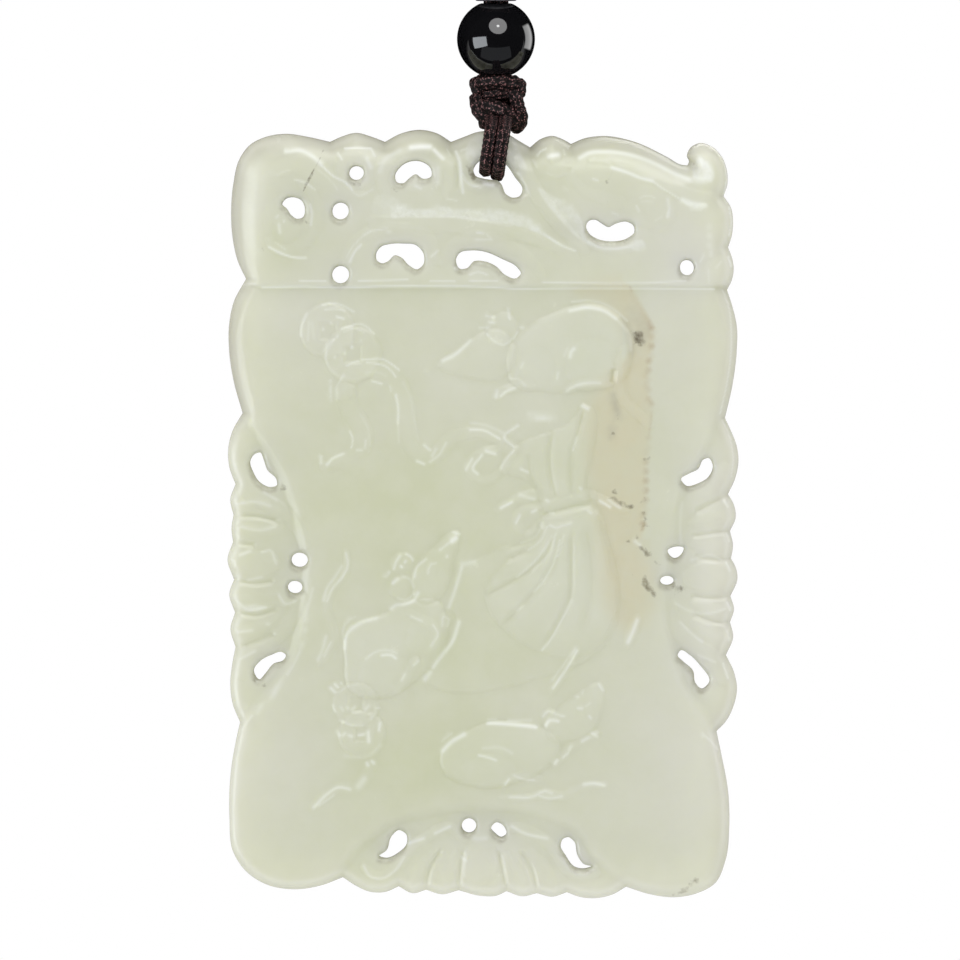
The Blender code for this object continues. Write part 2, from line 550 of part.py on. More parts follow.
class FacePoints:
    """Corners and edges chosen for one face, with no two closer than they may be."""

    def __init__(self, loops):
        """Start from the boundary loops, whose edges are all kept."""
        self.loops = loops
        self.places = [tuple(place) for loop in loops for place in loop]
        self.edges = []
        first = 0
        for loop in loops:
            numbers = list(range(first, first + len(loop)))
            self.edges += list(zip(numbers, numbers[1:] + numbers[:1]))
            first += len(loop)

    def usable(self, line):
        """Whether each place of a line is in the material and clear of its boundary."""
        reach = np.min([distance_to_path(line, *edges_of(loop)) for loop in self.loops], axis=0)
        return in_material(line, self.loops[0], self.loops[1:]) & (reach > LEAST_GAP)

    def add_line(self, line, spacing, joined=True):
        """Keep the places that are their spacing clear of the others, and join neighbours."""
        before = None
        for place, good in zip(line, self.usable(line)):
            number = self.add_place(place, spacing) if good else None
            if joined and number is not None and before is not None:
                self.join(before, number)
            before = number

    def add_place(self, place, spacing):
        """The number of the new corner, or None where another is too close."""
        gaps = np.array(self.places) - place
        nearest = int(np.argmin(gaps[:, 0] ** 2 + gaps[:, 1] ** 2))
        if math.hypot(*gaps[nearest]) > spacing:
            self.places.append(tuple(place))
            return len(self.places) - 1
        return None

    def join(self, a, b):
        """Keep the edge between two corners unless it crosses a kept one."""
        corners = np.array(self.places)
        ends = np.array(self.edges)
        start, along = corners[a], corners[b] - corners[a]
        other, other_along = corners[ends[:, 0]], corners[ends[:, 1]] - corners[ends[:, 0]]
        cross = along[0] * other_along[:, 1] - along[1] * other_along[:, 0]
        cross = np.where(np.abs(cross) < 1e-18, 1e-18, cross)
        gap = other - start
        here = (gap[:, 0] * other_along[:, 1] - gap[:, 1] * other_along[:, 0]) / cross
        there = (gap[:, 0] * along[1] - gap[:, 1] * along[0]) / cross
        shared = np.isin(ends, (a, b)).any(axis=1)
        if not np.any((here > -0.01) & (here < 1.01) & (there > -0.01) & (there < 1.01) & ~shared):
            self.edges.append((a, b))

    def triangles(self):
        """Triangles that fill the material between the loops, through all kept corners."""
        places = np.array(self.places)
        flat = (places * 1000).tolist()
        _, _, faces, sources, _, _ = delaunay_2d_cdt(flat, self.edges, [], 0, 1e-7)
        number = [source[0] for source in sources]
        corners = np.array([[number[corner] for corner in face] for face in faces])
        middles = places[corners].mean(axis=1)
        return places, corners[in_material(middles, self.loops[0], self.loops[1:])]


def ground_grid(step):
    """Rows of points over the plaque's box, every other row moved by half a step."""
    rows = np.arange(-PLAQUE_LENGTH / 2, PLAQUE_LENGTH / 2, step * math.sqrt(3) / 2)
    columns = np.arange(-PLAQUE_WIDTH / 2, PLAQUE_WIDTH / 2, step)
    x, y = np.meshgrid(columns, rows)
    x = x + step / 2 * (np.arange(len(rows)) % 2)[:, None]
    return np.column_stack([x.ravel(), y.ravel()])


def front_face(rim, holes):
    """Corners and triangles of the carved face."""
    face = FacePoints([rim, *holes])
    for share in (0.3, 1.0):
        face.add_line(inset_ring(rim, FRONT_ROUND * share, True), FRONT_ROUND * 0.28)
    for hole in holes:
        face.add_line(inset_ring(hole, HOLE_ROUND, False), LEAST_GAP)
    for line, own in feature_lines():
        if own is not None:
            hidden = figures_height(line) > own + 0.15
            line = np.where(hidden[:, None], np.inf, line)
        runs = np.split(line, np.flatnonzero(np.isinf(line[:, 0])))
        for run in runs:
            run = run[np.isfinite(run[:, 0])]
            if len(run):
                face.add_line(on_plaque(run), LINE_GAP)
    face.add_line(ground_grid(GROUND_STEP), GROUND_STEP * 0.6, joined=False)
    return face.triangles()


def back_face(rim, holes):
    """Corners and triangles of the flat back."""
    face = FacePoints([rim, *holes])
    face.add_line(inset_ring(rim, BACK_ROUND, True), LEAST_GAP)
    for hole in holes:
        face.add_line(inset_ring(hole, BACK_ROUND, False), LEAST_GAP)
    for reach in (1.0, 0.8, 0.4):
        face.add_line(on_plaque(ellipse_ring(SCOOP_MIDDLE, SCOOP_REACH, 0, reach)), LEAST_GAP)
    face.add_line(ground_grid(BACK_STEP), BACK_STEP * 0.6, joined=False)
    return face.triangles()


def plaque_mesh():
    """The whole plaque: carved face, flat back and the walls of the rim and the holes."""
    rim, holes = rim_outline(), hole_outlines()
    loops = [rim, *holes]
    top, top_faces = front_face(rim, holes)
    back, back_faces = back_face(rim, holes)
    vertices = np.vstack([np.column_stack([top, front_height(top, rim, holes)]),
                          np.column_stack([back, back_height(back, rim, holes)])])
    faces = top_faces.tolist() + (back_faces + len(top)).tolist()
    first = 0
    for loop in loops:
        for here in range(len(loop)):
            after = (here + 1) % len(loop)
            a, b = first + here, first + after
            faces += [[a, b, b + len(top)], [a, b + len(top), a + len(top)]]
        first += len(loop)
    mesh = bpy.data.meshes.new("jade_plaque")
    mesh.from_pydata(vertices.tolist(), [], faces)
    outward(mesh)
    return mesh


def outward(mesh):
    """Turn every face of a closed mesh to look out, so that its volume counts as positive."""
    work = bmesh.new()
    work.from_mesh(mesh)
    bmesh.ops.recalc_face_normals(work, faces=work.faces)
    if work.calc_volume(signed=True) < 0:
        bmesh.ops.reverse_faces(work, faces=work.faces)
    work.to_mesh(mesh)
    work.free()


def turned_mesh(name, profile, centre, axis, count):
    """A closed profile of (radius, along) turned round an axis, "Y" or "Z", through a centre."""
    turn = np.arange(count) * math.tau / count
    radius = np.array([point[0] for point in profile])
    along = np.array([point[1] for point in profile])
    across = np.outer(np.cos(turn), radius)
    beside = np.outer(np.sin(turn), radius)
    level = np.broadcast_to(along, across.shape)
    parts = (across, level, beside) if axis == "Y" else (across, beside, level)
    vertices = np.column_stack([part.ravel() for part in parts]) + np.array(centre)
    size = len(profile)
    faces = []
    for i in range(count):
        for j in range(size):
            a, b = i * size, (i + 1) % count * size
            k = (j + 1) % size
            faces.append([a + j, a + k, b + k, b + j])
    mesh = bpy.data.meshes.new(name)
    mesh.from_pydata(vertices.tolist(), [], faces)
    outward(mesh)
    mesh.shade_smooth()
    return mesh


def knot_mesh():
    """A plain barrel with soft corners: an ellipsoid whose sines are raised to a low power."""
    rings, count, fullness = 10, 16, 0.62
    x, y, z = knot_centre()
    vertices = [(x, y - KNOT_LENGTH / 2, z)]
    for i in range(1, rings):
        tilt = math.pi * i / rings - math.pi / 2
        wide = math.cos(tilt) ** fullness
        level = math.copysign(abs(math.sin(tilt)) ** fullness, math.sin(tilt))
        for j in range(count):
            turn = math.tau * j / count
            across = math.copysign(abs(math.cos(turn)) ** fullness, math.cos(turn))
            up = math.copysign(abs(math.sin(turn)) ** fullness, math.sin(turn))
            vertices.append((x + KNOT_WIDTH / 2 * wide * across, y + KNOT_LENGTH / 2 * level,
                             z + KNOT_HEIGHT / 2 * wide * up))
    vertices.append((x, y + KNOT_LENGTH / 2, z))
    last = len(vertices) - 1
    faces = [[0, 1 + j, 1 + (j + 1) % count] for j in range(count)]
    for i in range(rings - 2):
        for j in range(count):
            a, k = 1 + i * count, (j + 1) % count
            faces.append([a + j, a + k, a + count + k, a + count + j])
    top = last - count
    faces += [[last, top + (j + 1) % count, top + j] for j in range(count)]
    mesh = bpy.data.meshes.new("cord_knot")
    mesh.from_pydata(vertices, [], faces)
    outward(mesh)
    mesh.shade_smooth()
    return mesh


def knot_centre():
    """The knot lies on the ground against the plaque's top edge."""
    x = on_plaque([(KNOT_AT, 0)])[0][0]
    return x, PLAQUE_LENGTH / 2 + CLEARANCE + KNOT_LENGTH / 2, KNOT_HEIGHT / 2


def bead_centre():
    """The bead lies on the ground with its bore's rim just clear of the knot's top."""
    bore_depth = math.sqrt((BEAD_DIAMETER / 2) ** 2 - (BEAD_BORE / 2) ** 2)
    y = knot_centre()[1] + KNOT_LENGTH / 2 + CLEARANCE + bore_depth
    return on_plaque([(BEAD_AT, 0)])[0][0], y, BEAD_DIAMETER / 2


def bead_profile():
    """Outer arc of the bead from one end of the bore to the other, closed by the bore."""
    radius, bore = BEAD_DIAMETER / 2, BEAD_BORE / 2
    first = math.asin(bore / radius)
    count = 10
    turns = [first + (math.pi - 2 * first) * i / count for i in range(count + 1)]
    return [(radius * math.sin(turn), radius * math.cos(turn)) for turn in turns]


def spacer_profile():
    """Round-edged ring whose lower face is hollowed to follow the bead."""
    outer, bore, edge = SPACER_DIAMETER / 2, BEAD_BORE / 2, SPACER_EDGE
    seat = BEAD_DIAMETER / 2 + CLEARANCE
    spots = [bore, (outer + bore) / 2, outer - SPACER_LIP]
    hollow = [(spot, math.sqrt(seat**2 - spot**2)) for spot in spots]
    foot = hollow[-1][1]
    top = foot + SPACER_LENGTH
    turns = [math.pi / 2 * i / 4 for i in range(5)]
    arc = [(outer - edge + edge * math.cos(t), top - edge + edge * math.sin(t)) for t in turns]
    return [*hollow, (outer, foot + 2 * SPACER_LIP), *arc, (bore, top)]


def tube_curve(name, points, diameter):
    """A straight-lined curve with a round bevel and filled ends."""
    curve = bpy.data.curves.new(name, "CURVE")
    curve.dimensions = "3D"
    curve.bevel_depth = diameter / 2
    curve.bevel_resolution = CORD_SIDES
    curve.use_fill_caps = True
    spline = curve.splines.new("POLY")
    spline.points.add(len(points) - 1)
    for spot, point in zip(spline.points, points):
        spot.co = (*point, 1.0)
    return curve


def loop_route(x):
    """One strand of the hanging loop: over the bar's front, through the hole, up its back."""
    half = CORD_DIAMETER / 2
    edge = PLAQUE_LENGTH / 2
    inside = on_plaque([(STRANDS_AT, LOOP_INSIDE)])[0][1]
    top = PLAQUE_THICKNESS + CLEARANCE + half
    low = half + CLEARANCE / 2
    over = FRONT_ROUND + CLEARANCE + half
    route = [(edge + over, KNOT_HEIGHT + CLEARANCE)]
    route += bend(edge - FRONT_ROUND, top - over, over, 0)
    route += bend(inside + LOOP_BEND, top - LOOP_BEND, LOOP_BEND, 90)
    route += bend(inside + LOOP_BEND, low + LOOP_BEND, LOOP_BEND, 180)
    route.append((edge - CLEARANCE, low))
    return [(x, y, z) for y, z in route]


def bend(y, z, radius, first):
    """Four places on a quarter circle about (y, z), from an angle of so many degrees."""
    turns = [math.radians(first + 30 * i) for i in range(4)]
    return [(y + radius * math.cos(turn), z + radius * math.sin(turn)) for turn in turns]


def coil_sizes():
    """Coil's middle radius, its section's half width and height, and its number of turns."""
    middle = COIL_MIDDLE * CORD_DIAMETER / 2
    spacer_top = spacer_end()
    leads = 2 * (spacer_top - knot_centre()[1] - KNOT_LENGTH / 2 + COIL_REACH)
    turns = (CORD_LENGTH - leads) / (math.tau * middle)
    rows = math.ceil(turns / COIL_COLUMNS)
    return middle, COIL_COLUMNS * CORD_DIAMETER / 2, rows * CORD_DIAMETER / 2


def spacer_end():
    """Where the cord leaves the spacer bead."""
    return bead_centre()[1] + spacer_profile()[-1][1]


def coil_centre():
    """The coil lies on its ties beyond the beads."""
    half_height = coil_sizes()[2]
    return bead_centre()[0], spacer_end() + COIL_REACH, COIL_REST + half_height


def coil_profile():
    """The coil's outer section: a rectangle with its corners cut."""
    middle, half_width, half_height = coil_sizes()
    cut = CORD_DIAMETER / 2
    corners = [(half_width, half_height - cut), (half_width - cut, half_height)]
    section = []
    for side_x, side_z in ((1, 1), (-1, 1), (-1, -1), (1, -1)):
        pair = corners if side_x * side_z > 0 else corners[::-1]
        section += [(middle + side_x * x, side_z * z) for x, z in pair]
    return section


def lead_route(side):
    """A neck strand: through the beads from the knot, down to the ground and to the coil."""
    x, _, bore_z = bead_centre()
    start = knot_centre()[1] + KNOT_LENGTH / 2 + CLEARANCE
    out = spacer_end()
    middle, half_width, half_height = coil_sizes()
    near = STRAND_SPACING / 2
    reach = middle + half_width - CORD_DIAMETER / 2 - near
    low = CORD_DIAMETER / 2
    climb = 0.0 if side < 0 else 2 * half_height - CORD_DIAMETER
    route = [(x + side * near, start, bore_z), (x + side * near, (start + out) / 2, bore_z),
             (x + side * near, out, bore_z)]
    for run, sideways, fall, rise in LEAD_ROUTE:
        route.append((x + side * (near + reach * sideways), out + LEAD_RUN * run,
                      bore_z + (low - bore_z) * fall + climb * rise))
    return route


def build():
    """Make every piece."""
    clear_scene()
    jade = finish_material("jade", JADE, 0.22)
    black = finish_material("black_stone", BLACK_STONE, 0.05)
    grey = finish_material("grey_stone", GREY_STONE, 0.25)
    braid = finish_material("braid", BRAID, 0.7)
    add_object("jade_plaque", plaque_mesh(), jade)
    add_object("cord_knot", knot_mesh(), braid)
    bead = turned_mesh("black_bead", bead_profile(), bead_centre(), "Y", 20)
    add_object("black_bead", bead, black)
    spacer = turned_mesh("spacer_bead", spacer_profile(), bead_centre(), "Y", 16)
    add_object("spacer_bead", spacer, grey)
    coil = turned_mesh("neck_cord_coil", coil_profile(), coil_centre(), "Z", 24)
    add_object("neck_cord_coil", coil, braid)
    strands_x = on_plaque([(STRANDS_AT, 0)])[0][0]
    for side, word in ((-1, "left"), (1, "right")):
        loop = loop_route(strands_x + side * STRAND_SPACING / 2)
        add_object(f"hanging_loop_{word}", tube_curve("loop", loop, CORD_DIAMETER), braid)
        lead = curve_through(lead_route(side), LEAD_STEP)
        add_object(f"neck_cord_{word}", tube_curve("lead", lead, CORD_DIAMETER), braid)


build()
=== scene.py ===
"""Carved jade pendant on its braided neck cord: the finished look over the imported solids.

The plaque lies on its flat back, its carved face up and its top edge towards +Y. The carving
is drawn on the same sheet as the solids: x runs right and y runs down, and the plaque covers
SHEET_SPAN steps about SHEET_CENTRE.
"""

import math

import bpy
import numpy as np
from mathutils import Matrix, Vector
from mathutils.geometry import delaunay_2d_cdt

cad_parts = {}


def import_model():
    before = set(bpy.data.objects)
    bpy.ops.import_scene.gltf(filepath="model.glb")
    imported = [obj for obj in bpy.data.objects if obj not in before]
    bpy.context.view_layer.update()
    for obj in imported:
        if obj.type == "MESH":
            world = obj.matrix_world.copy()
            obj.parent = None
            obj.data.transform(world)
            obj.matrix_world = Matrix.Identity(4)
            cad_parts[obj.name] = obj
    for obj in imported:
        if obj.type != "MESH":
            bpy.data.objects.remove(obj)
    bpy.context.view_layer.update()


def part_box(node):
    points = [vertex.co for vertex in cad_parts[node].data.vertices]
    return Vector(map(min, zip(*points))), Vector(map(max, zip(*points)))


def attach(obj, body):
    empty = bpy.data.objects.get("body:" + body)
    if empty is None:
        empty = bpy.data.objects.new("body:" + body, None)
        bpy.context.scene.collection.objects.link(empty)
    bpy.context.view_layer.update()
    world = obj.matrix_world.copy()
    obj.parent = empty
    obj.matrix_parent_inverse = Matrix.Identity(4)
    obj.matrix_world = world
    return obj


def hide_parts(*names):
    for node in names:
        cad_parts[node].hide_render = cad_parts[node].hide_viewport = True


# Plaque, in metres
PLAQUE_WIDTH = 0.0393
PLAQUE_LENGTH = 0.0591
FIELD_LEVEL = 0.00605       # height of the field's ground
PANEL_RISE = 0.00028        # the dragon panel stands above the field
BAT_DROP = 0.00022          # the bats lie below the field
HIGHEST = 0.00700
EDGE_ROUND = 0.00070        # radius of the polished front edge, where EDGE_ZONES adds nothing
EDGE_REACH = 0.0026         # the broadest rounding of the rim ends within this
HOLE_ROUND = 0.00030
BACK_ROUND = 0.00045
SCOOP_DEPTH = 0.0020        # the scoop behind the cord's hole, its middle and reach on the sheet
SCOOP_MIDDLE = (489.5, 148.0)
SCOOP_REACH = (36.0, 47.0)

# Relief, in millimetres of height
FORM_HEIGHT = 0.36          # the tables give each form's share of it
MOAT_DEPTH = 0.035          # the ground's dip round a form
MOAT_REACH = 4.5            # and its reach on the sheet
CEILING_EASE = 0.30         # heights this near to the highest level are eased
COIN_HEIGHT = 0.14          # as a share of FORM_HEIGHT
COIN_RING = 0.018
CREST_HEIGHT = 0.5          # share of the crests' listed heights that is carved

# The plaque's mesh, in metres
GRID_STEP = 0.000142        # between corners of the carved face, where it is carved
GROUND_EVERY = 3            # and every so many of them on plain ground
FORM_BORDER = 14            # a form shapes the ground as far as this round it, on the sheet
FINE_ROUND = 7              # and the grid stays fine as far as this
FINE_BORDER = 0.0011        # it stays fine this near to the rim and the holes too
RIM_STEP = 0.00013
RING_INSETS = (0.00005, 0.00012)    # rings of corners close inside the rim and the holes
RING_APART = 0.00004
GRID_APART = 0.00019        # the grid keeps this far from the rim and the holes
BACK_STEP = 0.0010
BACK_APART = 0.00035
BACK_RING_APART = 0.0003

# Cord, knot and beads, in metres
CORD_DIAMETER = 0.0010
CORD_STEP = 0.0006          # between rings of the neck cord
STRAND_SPACING = 0.00108
STRANDS_ROUND = 3.5         # waves of the braid round the cord
BRAID_STEP = 0.00005        # between rings of the knot and the hanging loops
BRAID_SIDES = 56
BRAID_WEAVE = 0.08          # how far the braid swells, as a share of the radius
KNOT_LENGTH = 0.0037
BEAD_DIAMETER = 0.0060
BEAD_BORE = 0.0022
SPACER_DIAMETER = 0.0033
SPACER_LENGTH = 0.0018
SPACER_EDGE = 0.0006
SPACER_LIP = 0.00015
COIL_MIDDLE = 0.0060        # radius at the coil's middle turns
COIL_TURNS = 15.5
COIL_REST = 0.0005
COIL_REACH = 0.0190
# A strand from the spacer to the coil, in shares: on along +Y, sideways, down and up again
LEAD_ROUTE = [(0.10, 0.04, 0.06, 0.0), (0.24, 0.16, 0.48, 0.0), (0.40, 0.37, 0.88, 0.0),
              (0.58, 0.64, 0.99, 0.12), (0.77, 0.87, 1.0, 0.42), (1.0, 1.0, 1.0, 0.80)]
LEAD_RUN = 0.0124
TIE_DIAMETER = 0.0004
TIE_ANGLES = (30, 150)      # places of the ties round the coil, in degrees
CLEARANCE = 0.0003

# The sheet, and the part of it that the camera sees
SHEET_CENTRE = (483.0, 514.0)
SHEET_SPAN = (511.0, 768.0)
SHEET_SCALE = (PLAQUE_WIDTH / SHEET_SPAN[0], -PLAQUE_LENGTH / SHEET_SPAN[1])
STEP = PLAQUE_LENGTH / SHEET_SPAN[1]    # one step of the sheet, in metres
PANEL_FOOT = 285.0
VIEW_MIDDLE = (480.0, 480.0)
VIEW_SPAN = 960.0
VIEW_HEIGHT = 0.0035        # level, in metres, where the view covers VIEW_SPAN
VIEW_DISTANCE = 2.40
SENSOR_WIDTH = 36.0

# Lights: name, angle from +Y towards +X, angle from overhead, distance, size, power, colour,
# and whether reflections and matte surfaces see them
WHITE = (1.0, 1.0, 1.0)
COOL = (0.90, 0.95, 1.0)
LIGHTS = [
    ("round_box", 8, 42, 0.50, 0.44, 1.8, WHITE, True, False),
    ("round_core", 8, 42, 0.48, 0.06, 0.10, WHITE, True, False),
    ("left_box", 263, 50, 0.55, (0.28, 0.45), 2.2, COOL, True, False),
    ("front_box", 180, 46, 0.60, (1.10, 0.50), 0.5, COOL, True, False),
    ("room_light", 340, 38, 0.60, 0.45, 0.9, WHITE, False, True),
]
ROOM_STRENGTH = 0.93
ROOM_REFLECTED = 0.006
FLOOR_HALF = 0.6
FLOOR_TO_PIECES = 0.85      # the floor's strength as matte surfaces see it
FLOOR_REFLECTED = 0.60      # and in reflections beside the plaque
# The white wedge right of the bead, as the bead reflects it: each side fades over a range of
# metres across or of slope, between two shares
WEDGE_STRENGTH = 3.2
WEDGE_START = (0.0062, 0.0080, 0.0, 1.0)
WEDGE_END = (0.030, 0.045, 1.0, 0.0)
WEDGE_FOOT = (-0.34, -0.28, 0.0, 1.0)
WEDGE_TOP = (0.44, 0.52, 1.0, 0.0)

# Colours of the stone, the cord and the beads
JADE_GREEN = (0.590, 0.610, 0.450)
JADE_CREAM = (0.652, 0.655, 0.580)
JADE_PALE = (0.690, 0.700, 0.610)
JADE_RAISED = (0.660, 0.685, 0.610)
JADE_SKIN = (0.615, 0.580, 0.420)
# colour of dark stains, and of painted shade beside some holes
JADE_STAIN_AND_SHADE = (0.135, 0.110, 0.070)
JADE_RUST = (0.420, 0.330, 0.200)
# colour of the painted shade along the rim
JADE_RIM_SHADE = (0.300, 0.275, 0.220)
JADE_SHADE = (0.270, 0.250, 0.165)
# grey of the haze in the stone, and of painted shade
JADE_SMOKE_AND_SHADE = (0.300, 0.300, 0.270)
# pale colour of matte frost, and of painted highlights
JADE_FROST_AND_HIGHLIGHT = (0.800, 0.820, 0.780)
BRAID_DARK = (0.0045, 0.0022, 0.0022)
# pale specks on the braid's crowns: paler fibre, and painted glints
BRAID_FIBRES_AND_GLINTS = (0.400, 0.190, 0.190)
BEAD_BLACK = (0.0025, 0.0025, 0.003)
BEAD_CLOUD = (0.006, 0.006, 0.007)
SPACER_GREY = (0.24, 0.24, 0.26)
SPACER_GRAIN = (0.13, 0.13, 0.14)

# Shares and reaches of the stone's marks
BACK_PALE = 0.7
HOLE_FROST = 0.5            # the holes' walls and lower edges are matte
HOLE_SHADE_SHIFT = (-1.2, 4.5)      # how far the painted shade lies from its hole, on the sheet
RIM_SHADE_REACH = 0.0011
SKIN_SOFT = 30
SKIN_CRISP = 6

# The rim, clockwise from the left end of the panel. Each stretch is one lobe, notch to notch.
RIM = [
    [(246, 279), (238, 262), (232.5, 238), (231, 214), (233.5, 182), (239, 160), (250, 145),
     (266, 137), (286, 134), (308, 137), (330, 142)],
    [(330, 142), (341, 137), (356, 133), (372, 137), (385, 142)],
    [(385, 142), (400, 134), (421, 130), (437, 133.5), (451, 142)],
    [(451, 142), (464, 137), (478, 132), (492, 131), (507, 134), (519, 141), (530, 147.5)],
    [(530, 147.5), (541, 139), (552, 136), (563, 139.5), (571, 144)],
    [(571, 144), (584, 138.5), (603, 136), (632, 141), (667, 157), (682, 165), (687.5, 165.5)],
    [(687.5, 165.5), (689.3, 161), (687.3, 156), (689.5, 149), (700, 143.2), (712, 147),
     (721, 156), (727, 171), (727.5, 184), (723.5, 196.5)],
    [(723.5, 196.5), (731, 208), (733, 224), (731.5, 237), (728, 247.5)],
    [(728, 247.5), (732, 258), (733.7, 270), (731.5, 281), (727, 290)],
    [(727, 290), (732, 305), (737, 328), (736.8, 350), (732.5, 385), (725, 418)],
    [(725, 418), (731, 431), (736.5, 445), (738.5, 459), (735, 479), (728, 494)],
    [(728, 494), (734, 505), (735.8, 517), (730, 531)],
    [(730, 531), (733, 545), (731, 558.5)],
    [(731, 558.5), (736, 568), (737.5, 578), (730.5, 596)],
    [(730.5, 596), (734, 609), (730, 622)],
    [(730, 622), (733.2, 636), (726, 655)],
    [(726, 655), (734, 672), (737, 687), (733.5, 706), (726, 721), (716.5, 731)],
    [(716.5, 731), (722, 757), (728, 790), (729.3, 825), (725.5, 860), (715, 883), (697, 893),
     (675, 897), (650, 894), (626, 886.5)],
    [(626, 886.5), (613, 894), (594, 898), (579, 896.5), (567, 892)],
    [(567, 892), (552, 896.5), (537, 893)],
    [(537, 893), (522, 896), (506.5, 891)],
    [(506.5, 891), (497, 895.3), (480, 895.5), (458.6, 890)],
    [(458.6, 890), (442, 894), (426, 889.5)],
    [(426, 889.5), (413, 893), (398.7, 886)],
    [(398.7, 886), (386, 891.5), (370, 891.5), (356, 885.5), (343, 877)],
    [(343, 877), (320, 885.5), (293, 889), (266, 884), (245, 870), (233, 851), (229.5, 818),
     (230.5, 775), (235, 745), (240, 722)],
    [(240, 722), (232.5, 703), (230.3, 684), (232.5, 662), (235.5, 647)],
    [(235.5, 647), (230.5, 628), (235, 612.5)],
    [(235, 612.5), (229.3, 593), (234, 579.5)],
    [(234, 579.5), (227.5, 559), (233, 542)],
    [(233, 542), (231.5, 528), (233.5, 515)],
    [(233.5, 515), (230.3, 499), (235.5, 484)],
    [(235.5, 484), (229.5, 468), (228, 452), (232, 432), (242.5, 413)],
    [(242.5, 413), (234, 383), (229, 350), (229, 325), (234, 301), (246, 279)],
]

# The pierced holes, each a closed curve
HOLES = {
    "scroll_comma": [(282, 204), (286, 198.5), (292, 197), (301, 200), (305, 209), (303, 217.5),
        (297, 219), (291, 215), (287, 209)],
    "cloud_kidney": [(395, 176), (400, 167), (411, 161), (423, 162), (430.5, 168), (431, 177),
        (423, 179), (415.5, 174.5), (410, 178), (403, 183.5), (397, 182.5)],
    "cord_hole": [(473.4, 170), (476, 164.5), (481, 160.2), (489, 158.8), (498, 159.3),
        (505, 163.5), (515, 177), (522.5, 189), (520, 196), (512, 197.8), (506, 194.5), (501, 184),
        (497.5, 180.6), (490, 180), (483, 178.8), (475.5, 176)],
    "wave_kidney_left": [(376, 254), (381, 246.5), (390, 243.8), (403, 243.3), (416, 245),
        (423, 252.5), (422.8, 265.5), (417, 269.5), (409, 265.5), (401, 257.5), (395, 255.5),
        (388, 261.5), (382, 263.5), (377, 260.5)],
    "wave_kidney_right": [(456, 259), (460, 252.5), (470, 250.3), (484, 251.3), (502, 258.6),
        (518, 268), (521, 273), (516, 278.5), (505, 275), (496, 266.5), (484, 261.5), (474, 261.5),
        (467, 268.3), (460, 269)],
    "dragon_crescent": [(586, 227), (589, 220.8), (595.5, 219.6), (602, 223.4), (608.5, 226.8),
        (616, 223.4), (627, 221.5), (634, 226), (634.5, 232), (627, 238.5), (611, 241.5),
        (597, 239), (589, 233.5)],
    "left_bat_upper": [(250, 461), (254.5, 454), (260.5, 452.6), (263.5, 459), (267.5, 470),
        (276.5, 479.5), (277, 485), (270, 487), (260, 482.5), (252.5, 471)],
    "left_bat_lower": [(286, 655), (282, 651.8), (272, 654.5), (260, 661), (253.5, 670.5),
        (259, 679.5), (266, 672.5), (273, 664), (283.5, 659.8)],
    "right_bat_upper": [(681, 479), (689, 473.6), (698, 469), (703.5, 459.5), (709, 458),
        (713, 464.5), (709, 476.5), (699, 483), (686, 485.5)],
    "right_bat_lower": [(677.5, 655), (680.5, 650.2), (690, 655), (700, 665), (709.5, 682),
        (702, 688.6), (695.3, 682.5), (693, 670.5), (683, 661)],
    "right_bat_notch": [(667.5, 550.5), (674, 546.9), (684, 548), (681, 555), (675, 558),
        (669.5, 555)],
    "foot_bat_left": [(379, 856), (386.5, 850), (391.5, 836), (399, 829.8), (406.5, 834.5),
        (406.5, 844), (398, 853), (386, 858)],
    "foot_bat_tear": [(491, 828), (496.5, 822), (502, 824), (506, 834.5), (501.5, 837),
        (495, 833)],
    "foot_bat_right": [(560.6, 845), (563, 838.6), (568, 836.8), (574, 841), (577.5, 855),
        (583.5, 863.5), (592, 866.2), (584, 868.6), (575, 867), (566, 856)],
}

# The round holes: centre, half width and half height
ROUND_HOLES = {
    "scroll_round": ((340.5, 211), 8.3, 8.6),
    "cloud_round": ((356.5, 173), 7.4, 7.2),
    "panel_left_round": ((340.6, 274.6), 8.6, 8.8),
    "panel_right_round": ((687, 267.6), 7.2, 7.8),
    "left_bat_upper_round": ((299.6, 559.7), 8.3, 7.1),
    "left_bat_lower_round": ((295, 587), 7.4, 6.2),
    "right_bat_round": ((667, 580.3), 6.9, 4.5),
    "foot_bat_round": ((469, 825.3), 7.3, 7.3),
}

# The field where the ground stands above the bats, as one closed curve
FIELD_EDGE = [(255, 290), (238, 330), (243, 392), (262, 430), (286, 470), (303, 520), (311, 575),
              (306, 618), (293, 664), (268, 700), (246, 724), (238, 780), (240, 850), (270, 878),
              (330, 872), (352, 846), (388, 818), (430, 806), (486, 802), (540, 808), (580, 826),
              (608, 862), (640, 880), (700, 876), (720, 840), (718, 780), (706, 728), (684, 694),
              (664, 640), (660, 600), (668, 540), (676, 490), (700, 446), (716, 400), (727, 340),
              (712, 290)]
FIELD_SLOPE = 11.0

